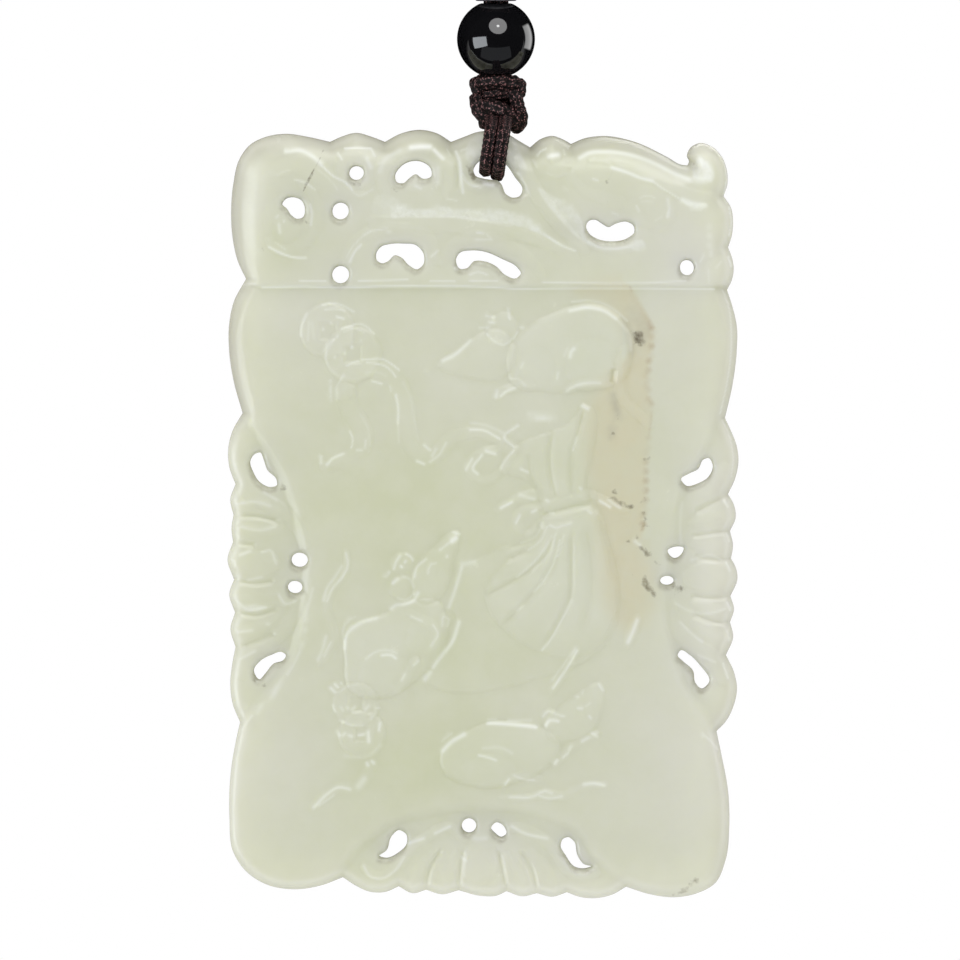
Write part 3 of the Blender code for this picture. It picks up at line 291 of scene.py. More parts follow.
# Raised forms with a free outline: outline, share of FORM_HEIGHT, softness of the edge
BLOBS = [
    # upper rat: body, head and large ear
    ([(508, 352), (514, 340), (526, 329), (540, 319), (556, 312), (574, 306), (592, 304),
      (608, 308), (621, 318), (629, 331), (632, 349), (630, 366), (622, 380), (612, 386),
      (598, 389), (580, 391), (560, 392), (540, 391), (522, 389), (512, 382), (507, 368)], 0.52,
      4),
    ([(438, 366), (443, 359), (455, 352), (468, 343), (480, 334), (492, 329), (505, 333),
      (513, 344), (515, 360), (509, 373), (495, 380), (475, 379), (457, 375), (444, 371)], 0.34,
      4.5),
    ([(504, 312), (514, 319), (518, 331), (512, 341), (503, 345), (494, 342), (486, 333),
      (489, 321), (496, 315)], 0.2, 3),
    # left rat: body, head
    ([(345, 660), (344, 642), (350, 628), (364, 620), (382, 615), (398, 607), (412, 600),
      (428, 598), (440, 604), (447, 616), (448, 632), (442, 650), (430, 666), (416, 679),
      (402, 690), (384, 697), (364, 697), (350, 690), (345, 676)], 0.5, 4.5),
    ([(458, 532), (449, 533), (436, 546), (424, 556), (416, 566), (412, 580), (413, 594),
      (421, 602), (432, 602), (442, 595), (449, 580), (453, 562), (458, 545)], 0.36, 4),
    # lower rat: body and head
    ([(441, 753), (452, 741), (468, 731), (486, 723), (510, 721), (534, 725), (552, 734),
      (561, 747), (552, 762), (534, 775), (515, 782), (495, 787), (470, 785), (450, 777),
      (441, 765)], 0.46, 4),
    ([(546, 722), (552, 712), (566, 702), (580, 692), (596, 683), (604, 690), (603, 704),
      (600, 718), (592, 731), (578, 738), (562, 742), (549, 738)], 0.3, 4),
    # sack: flared mouth, bulb and the low fold that spreads to the left
    ([(583, 404), (592, 408), (596, 425), (593, 445), (588, 470), (586, 488), (590, 500),
      (570, 507), (548, 512), (540, 500), (534, 488), (522, 478), (500, 470), (504, 459),
      (514, 448), (530, 439), (550, 432), (568, 424), (577, 414)], 0.3, 5),
    ([(545, 518), (562, 511), (584, 507), (598, 512), (606, 535), (612, 560), (617, 588),
      (614, 615), (605, 637), (588, 652), (566, 658), (542, 652), (520, 641), (502, 627),
      (488, 608), (486, 590), (500, 570), (520, 553), (536, 537)], 0.3, 9),
    ([(536, 522), (520, 540), (497, 549), (475, 561), (459, 570), (455, 588), (452, 606),
      (459, 622), (451, 645), (436, 664), (428, 682), (452, 692), (490, 690), (530, 680),
      (568, 668), (600, 650), (618, 615), (618, 580), (608, 540), (596, 508), (565, 508)], 0.22,
      6),
]

# Raised ovals: centre, half axes, turn in degrees, share of FORM_HEIGHT, softness
OVALS = [
    # upper rat: small ear, thigh, shoulder, eye, nose
    ((487, 321), (8, 8), 0, 0.12, 2.5), ((592, 366), (27, 26), 0, 0.08, 3),
    ((537, 368), (17, 20), 0, 0.06, 4), ((470, 355), (4, 3), -20, 0.04, 1.5),
    ((437, 367), (3.5, 3), 0, 0.06, 1.5), ((426, 372), (3, 2.5), 0, 0.07, 1.5),
    ((443, 352), (4, 3), 0, 0.04, 1.5),
    # left rat: ears, eye, nose, haunch, shoulder, paws
    ((402, 563), (11, 10), 0, 0.14, 2.5), ((401, 588), (12, 11), 0, 0.14, 2.5),
    ((432, 569), (6, 7), 0, 0.05, 1.8), ((447, 556), (2.2, 2.2), 0, 0.04, 1.2),
    ((453, 540), (5, 4), -40, 0.06, 2), ((384, 674), (26, 23), 0, 0.07, 3.5),
    ((424, 636), (17, 20), 20, 0.06, 4), ((445, 620), (6, 7), 0, 0.08, 1.8),
    ((415, 662), (5, 5), 0, 0.08, 1.8), ((424, 661), (3, 4), 0, 0.06, 1.5),
    ((331, 688), (3.5, 4.5), -40, 0.1, 1.5), ((336, 685), (3.5, 4), -40, 0.1, 1.5),
    ((340, 682), (3, 3.5), -40, 0.08, 1.5),
    # lower rat: ears, eye, nose, thigh, paw
    ((548, 715), (8, 6), -50, 0.13, 2.2), ((551, 723), (8, 4.5), -40, 0.11, 2),
    ((589, 712), (4.5, 4), 0, 0.05, 1.5), ((580, 708), (3.5, 3), 0, 0.05, 1.5),
    ((600, 686), (5, 4), 50, 0.06, 1.8), ((488, 771), (27, 17), 0, 0.07, 3),
    ((594, 735), (5, 4), 0, 0.07, 1.6),
    # right rat, worn low
    ((634, 572), (19, 30), 0, 0.08, 5), ((638, 541), (7, 6), 20, 0.07, 3),
    ((628, 563), (6, 5), 0, 0.05, 2.5),
    # panel: cloud heads, curled ends and bosses
    ((357, 168), (22, 22), 0, 0.13, 5), ((357, 173), (12, 12), 0, -0.06, 3),
    ((415, 187), (12, 7), 0, 0.1, 3), ((488, 156), (34, 26), 0, 0.3, 9),
    ((552, 160), (20, 19), 0, 0.12, 3), ((554, 156), (8, 6), 0, 0.14, 2.2),
    ((598, 170), (13, 12), 0, 0.09, 2.2), ((648, 207), (22, 21), 0, 0.07, 3),
    ((647, 207), (7, 7), 0, 0.06, 2), ((719, 271), (14, 13), 0, 0.12, 3.5),
    ((290, 226), (27, 33), 0, 0.09, 5), ((286, 230), (13, 14), 0, 0.07, 3),
    ((478, 279), (12, 6), 0, 0.12, 2.5),
    # bats: heads and bodies
    ((257, 564), (24, 13), 0, 0.17, 4), ((243, 562), (9, 9), 0, 0.06, 2.5),
    ((268, 556), (7, 6), 0, 0.06, 2), ((709, 577), (26, 15), 0, 0.17, 4),
    ((722, 574), (8, 8), 0, 0.05, 2.5), ((480, 862), (19, 22), 0, 0.17, 4),
    ((480, 838), (9, 7), 0, 0.08, 2.5), ((466, 858), (5, 7), 0, 0.06, 2),
    ((494, 858), (5, 7), 0, 0.06, 2),
]

# Raised bands along a curve: points, half widths at start, middle and end, share, softness
BANDS = [
    # ribbon: from the coins round the arch to the sack, its tails and its loop
    ([(346, 392), (349, 407), (358, 420), (364, 435), (362, 447), (350, 456), (337, 462),
      (324, 467)], (9, 9, 4), 0.14, 3.2),
    ([(346, 392), (349, 380), (360, 371), (374, 369), (388, 374), (399, 387), (405, 404),
      (407, 425), (411, 443), (420, 455), (431, 458), (441, 450), (450, 440), (466, 434),
      (486, 434), (501, 441), (513, 449)], (9, 8.5, 5), 0.14, 3.2),
    ([(374, 447), (363, 458), (347, 466), (333, 474)], (6, 6, 2), 0.07, 3),
    ([(472, 424), (488, 428), (502, 435), (514, 446)], (2.5, 3, 2), 0.08, 2),
    ([(518, 426), (505, 437), (498, 446)], (2.5, 3, 2), 0.08, 2),
    ([(506, 449), (488, 451), (475, 457), (469, 469), (476, 478), (492, 479), (504, 468),
      (512, 454)], (4, 4.5, 4), 0.12, 2.2),
    # the sack's tie, its bow and its knot
    ([(544, 507), (560, 503), (576, 499), (592, 494)], (5, 5.5, 5), 0.11, 2.5),
    ([(546, 518), (562, 515), (578, 511), (592, 505)], (4.5, 5, 4.5), 0.09, 2.5),
    ([(498, 509), (510, 502), (524, 497), (540, 495)], (3, 5, 6), 0.13, 2.5),
    ([(594, 497), (606, 501), (618, 507), (628, 512)], (5, 4.5, 2), 0.13, 2.5),
    ([(540, 511), (528, 509), (518, 515), (517, 525), (525, 533), (536, 530)], (4, 4.5, 4), 0.12,
      2.2),
    # tails and limbs of the rats
    ([(624, 350), (620, 368), (619, 384), (625, 400), (637, 413), (650, 425)], (5, 6, 4), 0.14,
      2.6), ([(495, 397), (502, 391), (514, 388), (530, 386)], (3.5, 4.5, 5), 0.13, 2),
    ([(566, 392), (575, 386), (590, 384), (608, 384)], (4, 5, 6), 0.1, 2.2),
    ([(505, 372), (512, 380), (524, 386)], (3, 4, 4), 0.06, 2),
    ([(346, 551), (347, 566), (340, 580), (330, 592), (326, 606), (331, 621), (334, 640),
      (327, 655), (319, 665)], (2.5, 5, 2.5), 0.12, 2.2),
    ([(410, 614), (424, 621), (435, 629), (435, 642), (428, 650)], (4, 5, 4), 0.07, 2),
    ([(400, 692), (405, 679), (412, 666), (416, 659)], (7, 5, 4), 0.1, 2.2),
    ([(555, 763), (567, 751), (581, 741), (597, 735)], (4, 5, 4), 0.11, 2.2),
    ([(503, 786), (510, 779), (522, 776), (538, 780)], (3.5, 5, 5), 0.1, 2.2),
    ([(500, 798), (530, 797), (546, 793), (560, 796), (578, 788), (605, 784)], (3, 4.5, 3), 0.11,
      2.2), ([(552, 690), (561, 677), (570, 663), (577, 648)], (4, 4, 3), 0.1, 2),
    ([(637, 618), (632, 631), (627, 644)], (4, 5, 4), 0.11, 2.5),
    # tails of ribbon under the lower coins
    ([(372, 762), (366, 777), (352, 788), (336, 788), (323, 797), (312, 809)], (5, 6, 3), 0.11,
      2.6),
    # panel: the corner's scroll with the inner turns of its spiral
    ([(266, 180), (282, 168), (304, 166), (326, 178), (346, 191), (366, 196)], (4, 12, 3), 0.08,
      4),
    ([(300, 183), (312, 194), (319, 212), (314, 231), (300, 246), (282, 250), (270, 242)],
      (3, 6, 5), 0.1, 3),
    # panel: clouds about the pierced holes
    ([(386, 196), (381, 172), (394, 152), (420, 146), (442, 154), (450, 172), (447, 196)],
      (4, 10, 4), 0.14, 4), ([(438, 152), (439, 168), (437, 188)], (2.5, 4, 2.5), 0.07, 2.5),
    ([(462, 172), (468, 185), (480, 190), (493, 185)], (3, 4, 3), 0.12, 2.4),
    # panel: the wave and the cloud stems under it
    ([(372, 222), (405, 224), (450, 225), (490, 230), (530, 238), (560, 251)], (6, 9, 4), 0.14, 4),
    ([(346, 266), (351, 247), (368, 234), (398, 229), (426, 235), (437, 262)], (4, 7, 4), 0.1,
      3.6),
    ([(442, 264), (452, 246), (472, 237), (500, 243), (530, 260), (544, 278)], (4, 7, 4), 0.1,
      3.6), ([(521, 160), (531, 184), (549, 210), (568, 234), (584, 250)], (6, 8, 5), 0.2, 3),
    ([(584, 236), (600, 247), (622, 250), (642, 244)], (3, 5, 3), 0.1, 2.6),
    # panel: the dragon's back, mane and jaw
    ([(590, 160), (616, 161), (640, 168), (664, 183), (688, 195), (712, 198)], (3, 9, 5), 0.12, 3),
    ([(571, 176), (582, 190), (604, 199), (626, 206), (640, 222)], (4, 6, 4), 0.08, 3.2),
    ([(669, 198), (672, 210), (668, 222), (654, 231)], (3, 5, 3), 0.08, 2.8),
    # bats: arms of the wings, and their ribs
    ([(239, 470), (247, 490), (263, 501), (283, 511), (299, 530), (305, 546)], (7, 8, 5), 0.15,
      3.4),
    ([(240, 672), (248, 652), (266, 642), (286, 627), (298, 606), (302, 596)], (7, 8, 5), 0.15,
      3.4), ([(238, 506), (256, 503), (276, 510)], (4, 5, 3), 0.09, 2.4),
    ([(240, 529), (262, 531), (282, 529)], (4, 6, 3), 0.09, 2.4),
    ([(236, 597), (250, 600), (276, 594)], (4, 6, 3), 0.09, 2.4),
    ([(238, 631), (255, 629), (276, 620)], (4, 6, 3), 0.09, 2.4),
    ([(280, 594), (286, 603), (298, 600)], (2, 3.5, 2), 0.07, 2),
    ([(724, 470), (714, 490), (698, 499), (684, 512), (678, 532), (677, 546)], (7, 8, 5), 0.15,
      3.4),
    ([(722, 678), (712, 656), (695, 646), (679, 630), (670, 606), (668, 592)], (7, 8, 5), 0.15,
      3.4), ([(728, 512), (712, 516), (690, 524)], (4, 6, 3), 0.09, 2.4),
    ([(730, 545), (714, 547), (692, 546)], (4, 6, 3), 0.09, 2.4),
    ([(730, 608), (714, 610), (692, 604)], (4, 6, 3), 0.09, 2.4),
    ([(728, 640), (712, 634), (694, 622)], (4, 6, 3), 0.09, 2.4),
    ([(365, 868), (378, 877), (394, 869), (406, 852), (424, 838), (450, 827), (462, 836)],
      (4, 6, 4), 0.14, 2.8),
    ([(596, 872), (582, 877), (566, 868), (556, 851), (540, 837), (512, 827), (500, 838)],
      (4, 6, 4), 0.14, 2.8), ([(412, 888), (420, 868), (436, 850)], (5, 5, 3), 0.09, 2.4),
    ([(442, 890), (447, 870), (456, 852)], (5, 5, 3), 0.09, 2.4),
    ([(522, 892), (518, 872), (508, 853)], (5, 5, 3), 0.09, 2.4),
    ([(552, 892), (546, 868), (530, 850)], (5, 5, 3), 0.09, 2.4),
]

# Coins: centre, half width, half height, and half side of the square hole
COINS = [
    ((328, 331), 27.5, 27.5, 8.5), ((353, 354), 28, 28, 8.5), ((356, 704), 23, 21.5, 7),
    ((362, 734), 23.5, 23.5, 7),
]

# Cut lines: points, half width on the sheet, depth in millimetres
CUTS = [
    ([(248, 284), (480, 284), (540, 285), (720, 285)], 2, 0.06),
    ([(614, 368), (612, 384)], 3.2, 0.22), ([(573, 452), (577, 434), (584, 410)], 2.6, 0.1),
    ([(552, 430), (549, 462), (556, 500)], 3.5, 0.1),
    ([(528, 452), (530, 474), (545, 500)], 3.5, 0.08),
    ([(571, 440), (570, 470), (572, 500)], 3.5, 0.07),
    ([(542, 522), (536, 537), (521, 544), (508, 548)], 3, 0.1),
    ([(548, 526), (540, 541), (526, 551), (505, 560)], 3.2, 0.1),
    ([(554, 531), (547, 552), (528, 571), (500, 588), (484, 597)], 3.4, 0.12),
    ([(563, 531), (557, 556), (545, 578), (528, 599), (500, 628)], 3.4, 0.12),
    ([(571, 530), (571, 566), (569, 600), (556, 626), (541, 651)], 3.6, 0.12),
    ([(584, 524), (590, 556), (590, 596), (580, 634)], 4.5, 0.07),
    ([(597, 515), (606, 545), (612, 580)], 3, 0.07),
    ([(238, 516), (256, 516), (280, 522)], 2.8, 0.14), ([(238, 543), (256, 545)], 2.8, 0.14),
    ([(238, 581), (256, 583), (276, 580)], 2.8, 0.14),
    ([(238, 612), (256, 615), (280, 607)], 2.8, 0.14),
    ([(240, 647), (256, 641), (276, 632)], 2.8, 0.14),
    ([(728, 496), (710, 504), (694, 512)], 2.8, 0.14),
    ([(730, 531), (712, 533), (690, 536)], 2.8, 0.14),
    ([(730, 559), (712, 559), (694, 556)], 2.8, 0.14),
    ([(730, 596), (712, 598), (690, 595)], 2.8, 0.14),
    ([(730, 623), (712, 621), (692, 612)], 2.8, 0.14),
    ([(426, 888), (430, 868), (442, 848)], 2.6, 0.14),
    ([(458, 890), (460, 872), (464, 850)], 2.6, 0.14),
    ([(506, 890), (503, 872), (498, 850)], 2.6, 0.14),
    ([(537, 892), (532, 870), (520, 850)], 2.6, 0.14),
    ([(691, 160), (696, 166), (690, 172)], 3, 0.2),
    ([(454, 150), (457, 163), (458, 193)], 2.6, 0.08), ([(512, 172), (527, 196)], 2.6, 0.1),
]

# Fine crests: points, half width, height in millimetres, and whiteness, a painted highlight along
# the crest
CRESTS_AND_HIGHLIGHTS = [
    ([(323, 305), (333, 303), (341, 305), (354, 312)], 1.3, 0.03, 0.7),
    ([(301, 336), (302, 325), (307, 314)], 1.5, 0.03, 0.6),
    ([(325, 310), (335, 309), (345, 311)], 1.3, 0.03, 0.6),
    ([(308, 341), (309, 322)], 1.3, 0.03, 0.4), ([(312, 323), (314, 338)], 1.6, 0.02, 0.25),
    ([(337, 317), (344, 319)], 1.5, 0.03, 0.9), ([(331, 323), (331, 324)], 1.5, 0.03, 0.5),
    ([(323, 330), (323, 329)], 1.6, 0.03, 0.7),
    ([(342, 329), (350, 326), (360, 324), (367, 327), (374, 334)], 1.3, 0.03, 0.7),
    ([(344, 332), (355, 329), (364, 332)], 1.2, 0.02, 0.4),
    ([(326, 359), (327, 350), (332, 342), (338, 336)], 1.3, 0.03, 0.45),
    ([(323, 352), (327, 344)], 1.3, 0.02, 0.4),
    ([(326, 360), (330, 369), (338, 376)], 1.4, 0.02, 0.25),
    ([(352, 347), (352, 348)], 1.8, 0.03, 0.9), ([(345, 353), (345, 354)], 1.8, 0.03, 0.6),
    ([(335, 357), (335, 358)], 1.6, 0.03, 0.6), ([(361, 340), (361, 341)], 1.6, 0.03, 0.4),
    ([(331, 380), (331, 402)], 1.3, 0.03, 0.5),
    ([(337, 400), (336, 390), (344, 375)], 1.4, 0.03, 0.5),
    ([(347, 366), (352, 363), (362, 360), (372, 359)], 1.2, 0.03, 0.7),
    ([(372, 359), (382, 359), (390, 363), (399, 370)], 1.2, 0.03, 0.9),
    ([(367, 363), (378, 364), (388, 368), (396, 377)], 1.2, 0.03, 0.7),
    ([(366, 373), (376, 372), (386, 376)], 1.8, 0.02, 0.2),
    ([(372, 381), (382, 384)], 1.3, 0.03, 0.8), ([(390, 386), (391, 391)], 1.3, 0.03, 0.5),
    ([(396, 395), (398, 405), (398, 424)], 1.5, 0.03, 0.8),
    ([(398, 424), (399, 442)], 1.4, 0.02, 0.3),
    ([(403, 382), (410, 396), (414, 418), (418, 440)], 1.5, 0.02, 0.2),
    ([(350, 431), (353, 440), (351, 448)], 1.2, 0.03, 0.8),
    ([(366, 440), (365, 448)], 1.3, 0.03, 0.5), ([(357, 450), (362, 450)], 1.5, 0.03, 0.6),
    ([(361, 415), (368, 428), (370, 445)], 1.5, 0.02, 0.2),
    ([(343, 454), (332, 459), (327, 465)], 1.7, 0.04, 0.8),
    ([(321, 457), (321, 463)], 1.8, 0.03, 0.7), ([(424, 445), (430, 450)], 1.8, 0.05, 0.7),
    ([(436, 449), (432, 456)], 1.8, 0.05, 0.5), ([(417, 461), (424, 464)], 1.8, 0.05, 0.8),
    ([(446, 443), (440, 454), (430, 462)], 1.6, 0.05, 0.5),
    ([(470, 430), (482, 430), (500, 439)], 1.6, 0.05, 0.8),
    ([(472, 423), (485, 425), (503, 433)], 1.8, 0.03, 0.35),
    ([(518, 426), (504, 437), (514, 447)], 1.6, 0.04, 0.6),
    ([(527, 421), (540, 419), (554, 420)], 1.6, 0.05, 0.8),
    ([(530, 414), (553, 416)], 2.4, 0.02, 0.35), ([(582, 406), (588, 409)], 2, 0.06, 0.9),
    ([(573, 450), (577, 437)], 1.5, 0.04, 0.6), ([(466, 470), (472, 459)], 1.8, 0.05, 0.6),
    ([(478, 474), (473, 470), (482, 455)], 1.8, 0.05, 0.8),
    ([(486, 451), (495, 454)], 2.2, 0.05, 0.8),
    ([(501, 468), (506, 459), (514, 451)], 1.5, 0.04, 0.5),
    ([(521, 469), (528, 472)], 1.6, 0.05, 0.7), ([(501, 508), (512, 502)], 2, 0.05, 0.8),
    ([(520, 495), (534, 499)], 2.4, 0.03, 0.5), ([(532, 512), (536, 510)], 1.8, 0.05, 0.7),
    ([(516, 523), (520, 515)], 1.6, 0.05, 0.7), ([(600, 501), (610, 507)], 1.8, 0.05, 0.9),
    ([(608, 500), (620, 508)], 1.8, 0.04, 0.6), ([(550, 513), (553, 513)], 1.8, 0.05, 0.6),
    ([(588, 511), (591, 513)], 1.8, 0.05, 0.6),
    ([(550, 525), (556, 528), (562, 526), (571, 523)], 1.5, 0.05, 0.5),
    ([(546, 500), (548, 501)], 2, 0.05, 0.7), ([(580, 488), (581, 489)], 1.8, 0.05, 0.7),
    ([(543, 522), (535, 537), (521, 543)], 1.3, 0.03, 0.35),
    ([(547, 527), (540, 541), (528, 550)], 1.3, 0.04, 0.5),
    ([(552, 536), (541, 554), (517, 577)], 1.3, 0.04, 0.5),
    ([(556, 533), (549, 554), (532, 571)], 1.3, 0.03, 0.4),
    ([(560, 540), (556, 556), (545, 579), (534, 592)], 1.4, 0.04, 0.6),
    ([(564, 535), (558, 556)], 1.3, 0.03, 0.4), ([(523, 606), (517, 611)], 1.4, 0.04, 0.5),
    ([(572, 600), (562, 619), (551, 639), (542, 650)], 1.5, 0.04, 0.6),
    # upper rat
    ([(443, 361), (455, 355), (463, 348), (470, 341)], 2.4, 0.05, 0.8),
    ([(572, 302), (590, 301), (604, 304), (616, 311), (627, 321)], 1.5, 0.05, 0.5),
    ([(570, 311), (590, 308), (604, 311), (616, 319)], 2.4, 0.05, 0.85),
    ([(618, 321), (629, 334), (631, 350)], 2, 0.04, 0.35),
    ([(487, 334), (494, 341), (503, 345), (511, 341), (517, 333)], 1.4, 0.04, 0.6),
    ([(508, 309), (510, 319)], 1.8, 0.04, 0.5), ([(509, 317), (510, 319)], 1.8, 0.04, 0.8),
    ([(486, 316), (493, 318)], 1.6, 0.04, 0.5), ([(489, 322), (494, 323)], 1.6, 0.04, 0.8),
    ([(480, 328), (489, 328)], 1.8, 0.03, 0.45), ([(521, 328), (523, 328)], 2, 0.04, 0.8),
    ([(570, 357), (571, 352), (574, 349)], 2.4, 0.05, 0.8),
    ([(564, 356), (568, 348)], 1.5, 0.03, 0.3),
    ([(567, 391), (575, 386), (590, 383), (600, 383)], 1.8, 0.05, 0.6),
    ([(501, 396), (507, 391), (515, 388)], 1.8, 0.05, 0.8),
    ([(496, 397), (497, 391)], 2.2, 0.04, 0.6),
    ([(511, 379), (518, 379), (525, 385)], 1.4, 0.03, 0.4),
    ([(557, 379), (558, 373)], 1.6, 0.04, 0.5), ([(521, 368), (523, 363)], 1.5, 0.04, 0.5),
    # left rat
    ([(346, 553), (348, 565), (343, 576), (333, 588), (327, 601)], 1.6, 0.04, 0.6),
    ([(342, 566), (335, 577), (327, 588), (324, 600)], 2, 0.03, 0.5),
    ([(326, 636), (323, 648), (318, 660)], 2.2, 0.03, 0.5),
    ([(331, 642), (324, 656)], 1.6, 0.03, 0.5),
    ([(394, 569), (396, 562), (400, 556)], 1.8, 0.05, 0.7),
    ([(406, 554), (410, 556), (413, 560)], 1.6, 0.05, 0.7),
    ([(405, 562), (406, 561)], 1.8, 0.04, 0.8), ([(401, 566), (402, 567)], 1.8, 0.04, 0.9),
    ([(386, 576), (389, 572)], 2, 0.04, 0.6), ([(393, 583), (398, 579)], 2.2, 0.05, 0.7),
    ([(402, 576), (410, 579), (414, 587)], 1.5, 0.04, 0.5),
    ([(398, 598), (405, 600), (414, 594)], 1.4, 0.04, 0.5),
    ([(418, 593), (414, 600), (404, 604), (396, 605), (391, 609)], 2.4, 0.05, 0.75),
    ([(352, 628), (347, 634), (345, 648)], 2.4, 0.05, 0.7),
    ([(352, 628), (362, 622), (376, 618)], 3, 0.04, 0.6),
    ([(344, 640), (343, 630), (347, 622), (355, 616)], 1.4, 0.04, 0.4),
    ([(415, 577), (417, 567), (426, 559)], 1.6, 0.05, 0.6),
    ([(440, 550), (451, 541)], 1.6, 0.05, 0.6), ([(452, 541), (456, 538)], 3.2, 0.07, 1),
    ([(453, 532), (459, 534)], 1.8, 0.05, 0.8), ([(447, 556), (447, 557)], 1.8, 0.04, 0.6),
    ([(428, 573), (431, 564), (436, 563)], 1.4, 0.04, 0.5),
    ([(462, 564), (474, 562)], 3.2, 0.03, 0.5),
    ([(462, 566), (457, 584), (449, 607)], 2.4, 0.05, 0.6),
    ([(459, 622), (452, 642), (440, 657), (433, 667)], 2.6, 0.06, 0.8),
    ([(430, 672), (425, 679)], 3.2, 0.04, 0.7), ([(411, 616), (422, 621)], 1.4, 0.04, 0.5),
    ([(433, 625), (438, 632), (431, 646)], 1.4, 0.04, 0.5),
    ([(442, 626), (444, 616), (449, 619), (447, 626)], 1.3, 0.03, 0.4),
    ([(366, 659), (373, 653), (388, 650), (397, 653)], 1.4, 0.04, 0.5),
    ([(382, 655), (392, 655), (396, 658)], 1.8, 0.05, 0.9),
    ([(402, 680), (405, 674)], 1.6, 0.04, 0.5), ([(414, 665), (418, 661)], 1.6, 0.04, 0.6),
    ([(331, 688), (335, 692)], 1.8, 0.05, 0.9), ([(335, 684), (338, 687)], 1.8, 0.05, 0.9),
    ([(341, 683), (342, 684)], 1.6, 0.04, 0.6),
    ([(333, 692), (341, 691), (348, 685)], 1.3, 0.03, 0.3),
    # lower coins and their ribbon
    ([(340, 720), (352, 725), (362, 725)], 1.6, 0.04, 0.4),
    ([(371, 719), (376, 712)], 1.6, 0.04, 0.4), ([(333, 705), (335, 711)], 1.6, 0.04, 0.6),
    ([(341, 707), (343, 710)], 1.8, 0.04, 0.5), ([(347, 707), (348, 708)], 2, 0.04, 0.5),
    ([(352, 709), (355, 707)], 2.2, 0.04, 0.6), ([(366, 709), (368, 706)], 2.2, 0.04, 0.5),
    ([(376, 708), (379, 708)], 1.8, 0.04, 0.5), ([(337, 731), (340, 735)], 2, 0.04, 0.6),
    ([(343, 735), (345, 733)], 2, 0.04, 0.7), ([(349, 735), (352, 736)], 2, 0.04, 0.7),
    ([(359, 735), (364, 734)], 1.9, 0.04, 0.8), ([(368, 732), (369, 741)], 2.6, 0.05, 0.8),
    ([(379, 730), (380, 723)], 1.8, 0.05, 0.8),
    ([(345, 756), (368, 756), (381, 745)], 2.2, 0.02, 0.25),
    ([(367, 763), (368, 765)], 2.2, 0.04, 0.8), ([(372, 761), (374, 763)], 2, 0.04, 0.8),
    ([(364, 779), (359, 786)], 4.5, 0.03, 0.5),
    ([(350, 789), (338, 787), (328, 793), (314, 807)], 2, 0.05, 0.7),
    ([(334, 795), (318, 806)], 1.4, 0.04, 0.5),
    # lower rat
    ([(443, 750), (452, 741), (464, 734)], 3.2, 0.06, 0.95),
    ([(442, 741), (452, 733)], 1.4, 0.03, 0.4), ([(488, 719), (496, 719)], 1.5, 0.03, 0.4),
    ([(508, 720), (531, 720)], 1.5, 0.03, 0.5),
    ([(488, 723), (506, 724), (536, 727)], 2.3, 0.06, 0.95),
    ([(543, 716), (548, 711), (556, 714), (564, 716)], 1.6, 0.05, 0.6),
    ([(546, 725), (550, 720), (558, 721)], 2.2, 0.05, 0.8),
    ([(479, 755), (488, 757), (496, 760)], 1.6, 0.05, 0.8),
    ([(483, 748), (503, 748), (512, 753)], 2, 0.03, 0.35),
    ([(505, 784), (509, 779)], 1.6, 0.05, 0.8),
    ([(514, 775), (524, 779), (534, 780)], 1.5, 0.04, 0.5),
    ([(510, 797), (534, 796), (545, 791), (552, 793)], 1.7, 0.04, 0.6),
    ([(540, 796), (551, 798), (562, 796)], 1.6, 0.04, 0.6),
    ([(584, 784), (594, 783), (604, 785)], 2.2, 0.05, 0.8),
    ([(589, 716), (591, 718)], 1.6, 0.04, 0.7), ([(578, 708), (582, 708)], 1.8, 0.04, 0.7),
    ([(586, 706), (590, 703)], 1.5, 0.03, 0.4), ([(577, 697), (578, 697)], 1.7, 0.04, 0.6),
    ([(599, 684), (603, 690)], 1.6, 0.05, 0.8), ([(582, 694), (583, 690)], 1.4, 0.03, 0.4),
    ([(553, 688), (560, 678), (571, 661), (577, 650)], 1.6, 0.05, 0.8),
    ([(552, 680), (566, 661), (575, 648)], 1.3, 0.03, 0.4),
    ([(555, 763), (557, 760)], 2, 0.06, 0.9), ([(563, 757), (568, 753)], 1.5, 0.04, 0.6),
    ([(569, 750), (571, 746)], 1.6, 0.04, 0.6), ([(582, 741), (589, 737)], 2, 0.04, 0.6),
    ([(592, 733), (597, 736)], 1.8, 0.04, 0.7),
    ([(637, 620), (633, 631), (628, 642)], 2.6, 0.05, 0.8),
    ([(635, 541), (640, 545)], 2, 0.04, 0.7),
    # panel's foot
    ([(300, 281.4), (326, 281.4)], 1.1, 0.03, 0.7), ([(359, 281), (408, 280)], 1.1, 0.03, 0.8),
    ([(430, 281.4), (455, 281.6)], 1.1, 0.03, 0.7), ([(470, 281), (497, 281)], 1.1, 0.03, 0.6),
    ([(543, 282.6), (574, 283), (620, 283.4), (660, 282.6), (686, 281)], 1.1, 0.03, 0.6),
    ([(262, 288), (300, 287), (340, 288), (380, 286.8), (430, 286.6), (490, 287.4), (516, 289),
      (550, 288.6), (640, 288.6), (714, 289.4)], 1.2, 0.03, 0.95),
    # panel, left part
    ([(286, 152), (300, 151), (310, 155), (321, 164)], 3, 0.03, 0.9),
    ([(321, 165), (334, 177), (346, 183), (352, 190)], 1.3, 0.04, 0.9),
    ([(352, 191), (358, 196), (372, 190)], 1.2, 0.03, 0.35),
    ([(318, 170), (330, 180), (338, 190)], 1.1, 0.02, 0.3),
    ([(277, 176), (284, 172), (290, 171)], 1.2, 0.02, 0.3),
    ([(295, 180), (305, 183), (315, 190)], 1.2, 0.03, 0.5),
    ([(310, 205), (312, 214), (311, 225)], 1.7, 0.03, 0.6),
    ([(279, 225), (280, 233)], 2, 0.03, 0.6), ([(276, 218), (278, 216)], 1.6, 0.03, 0.5),
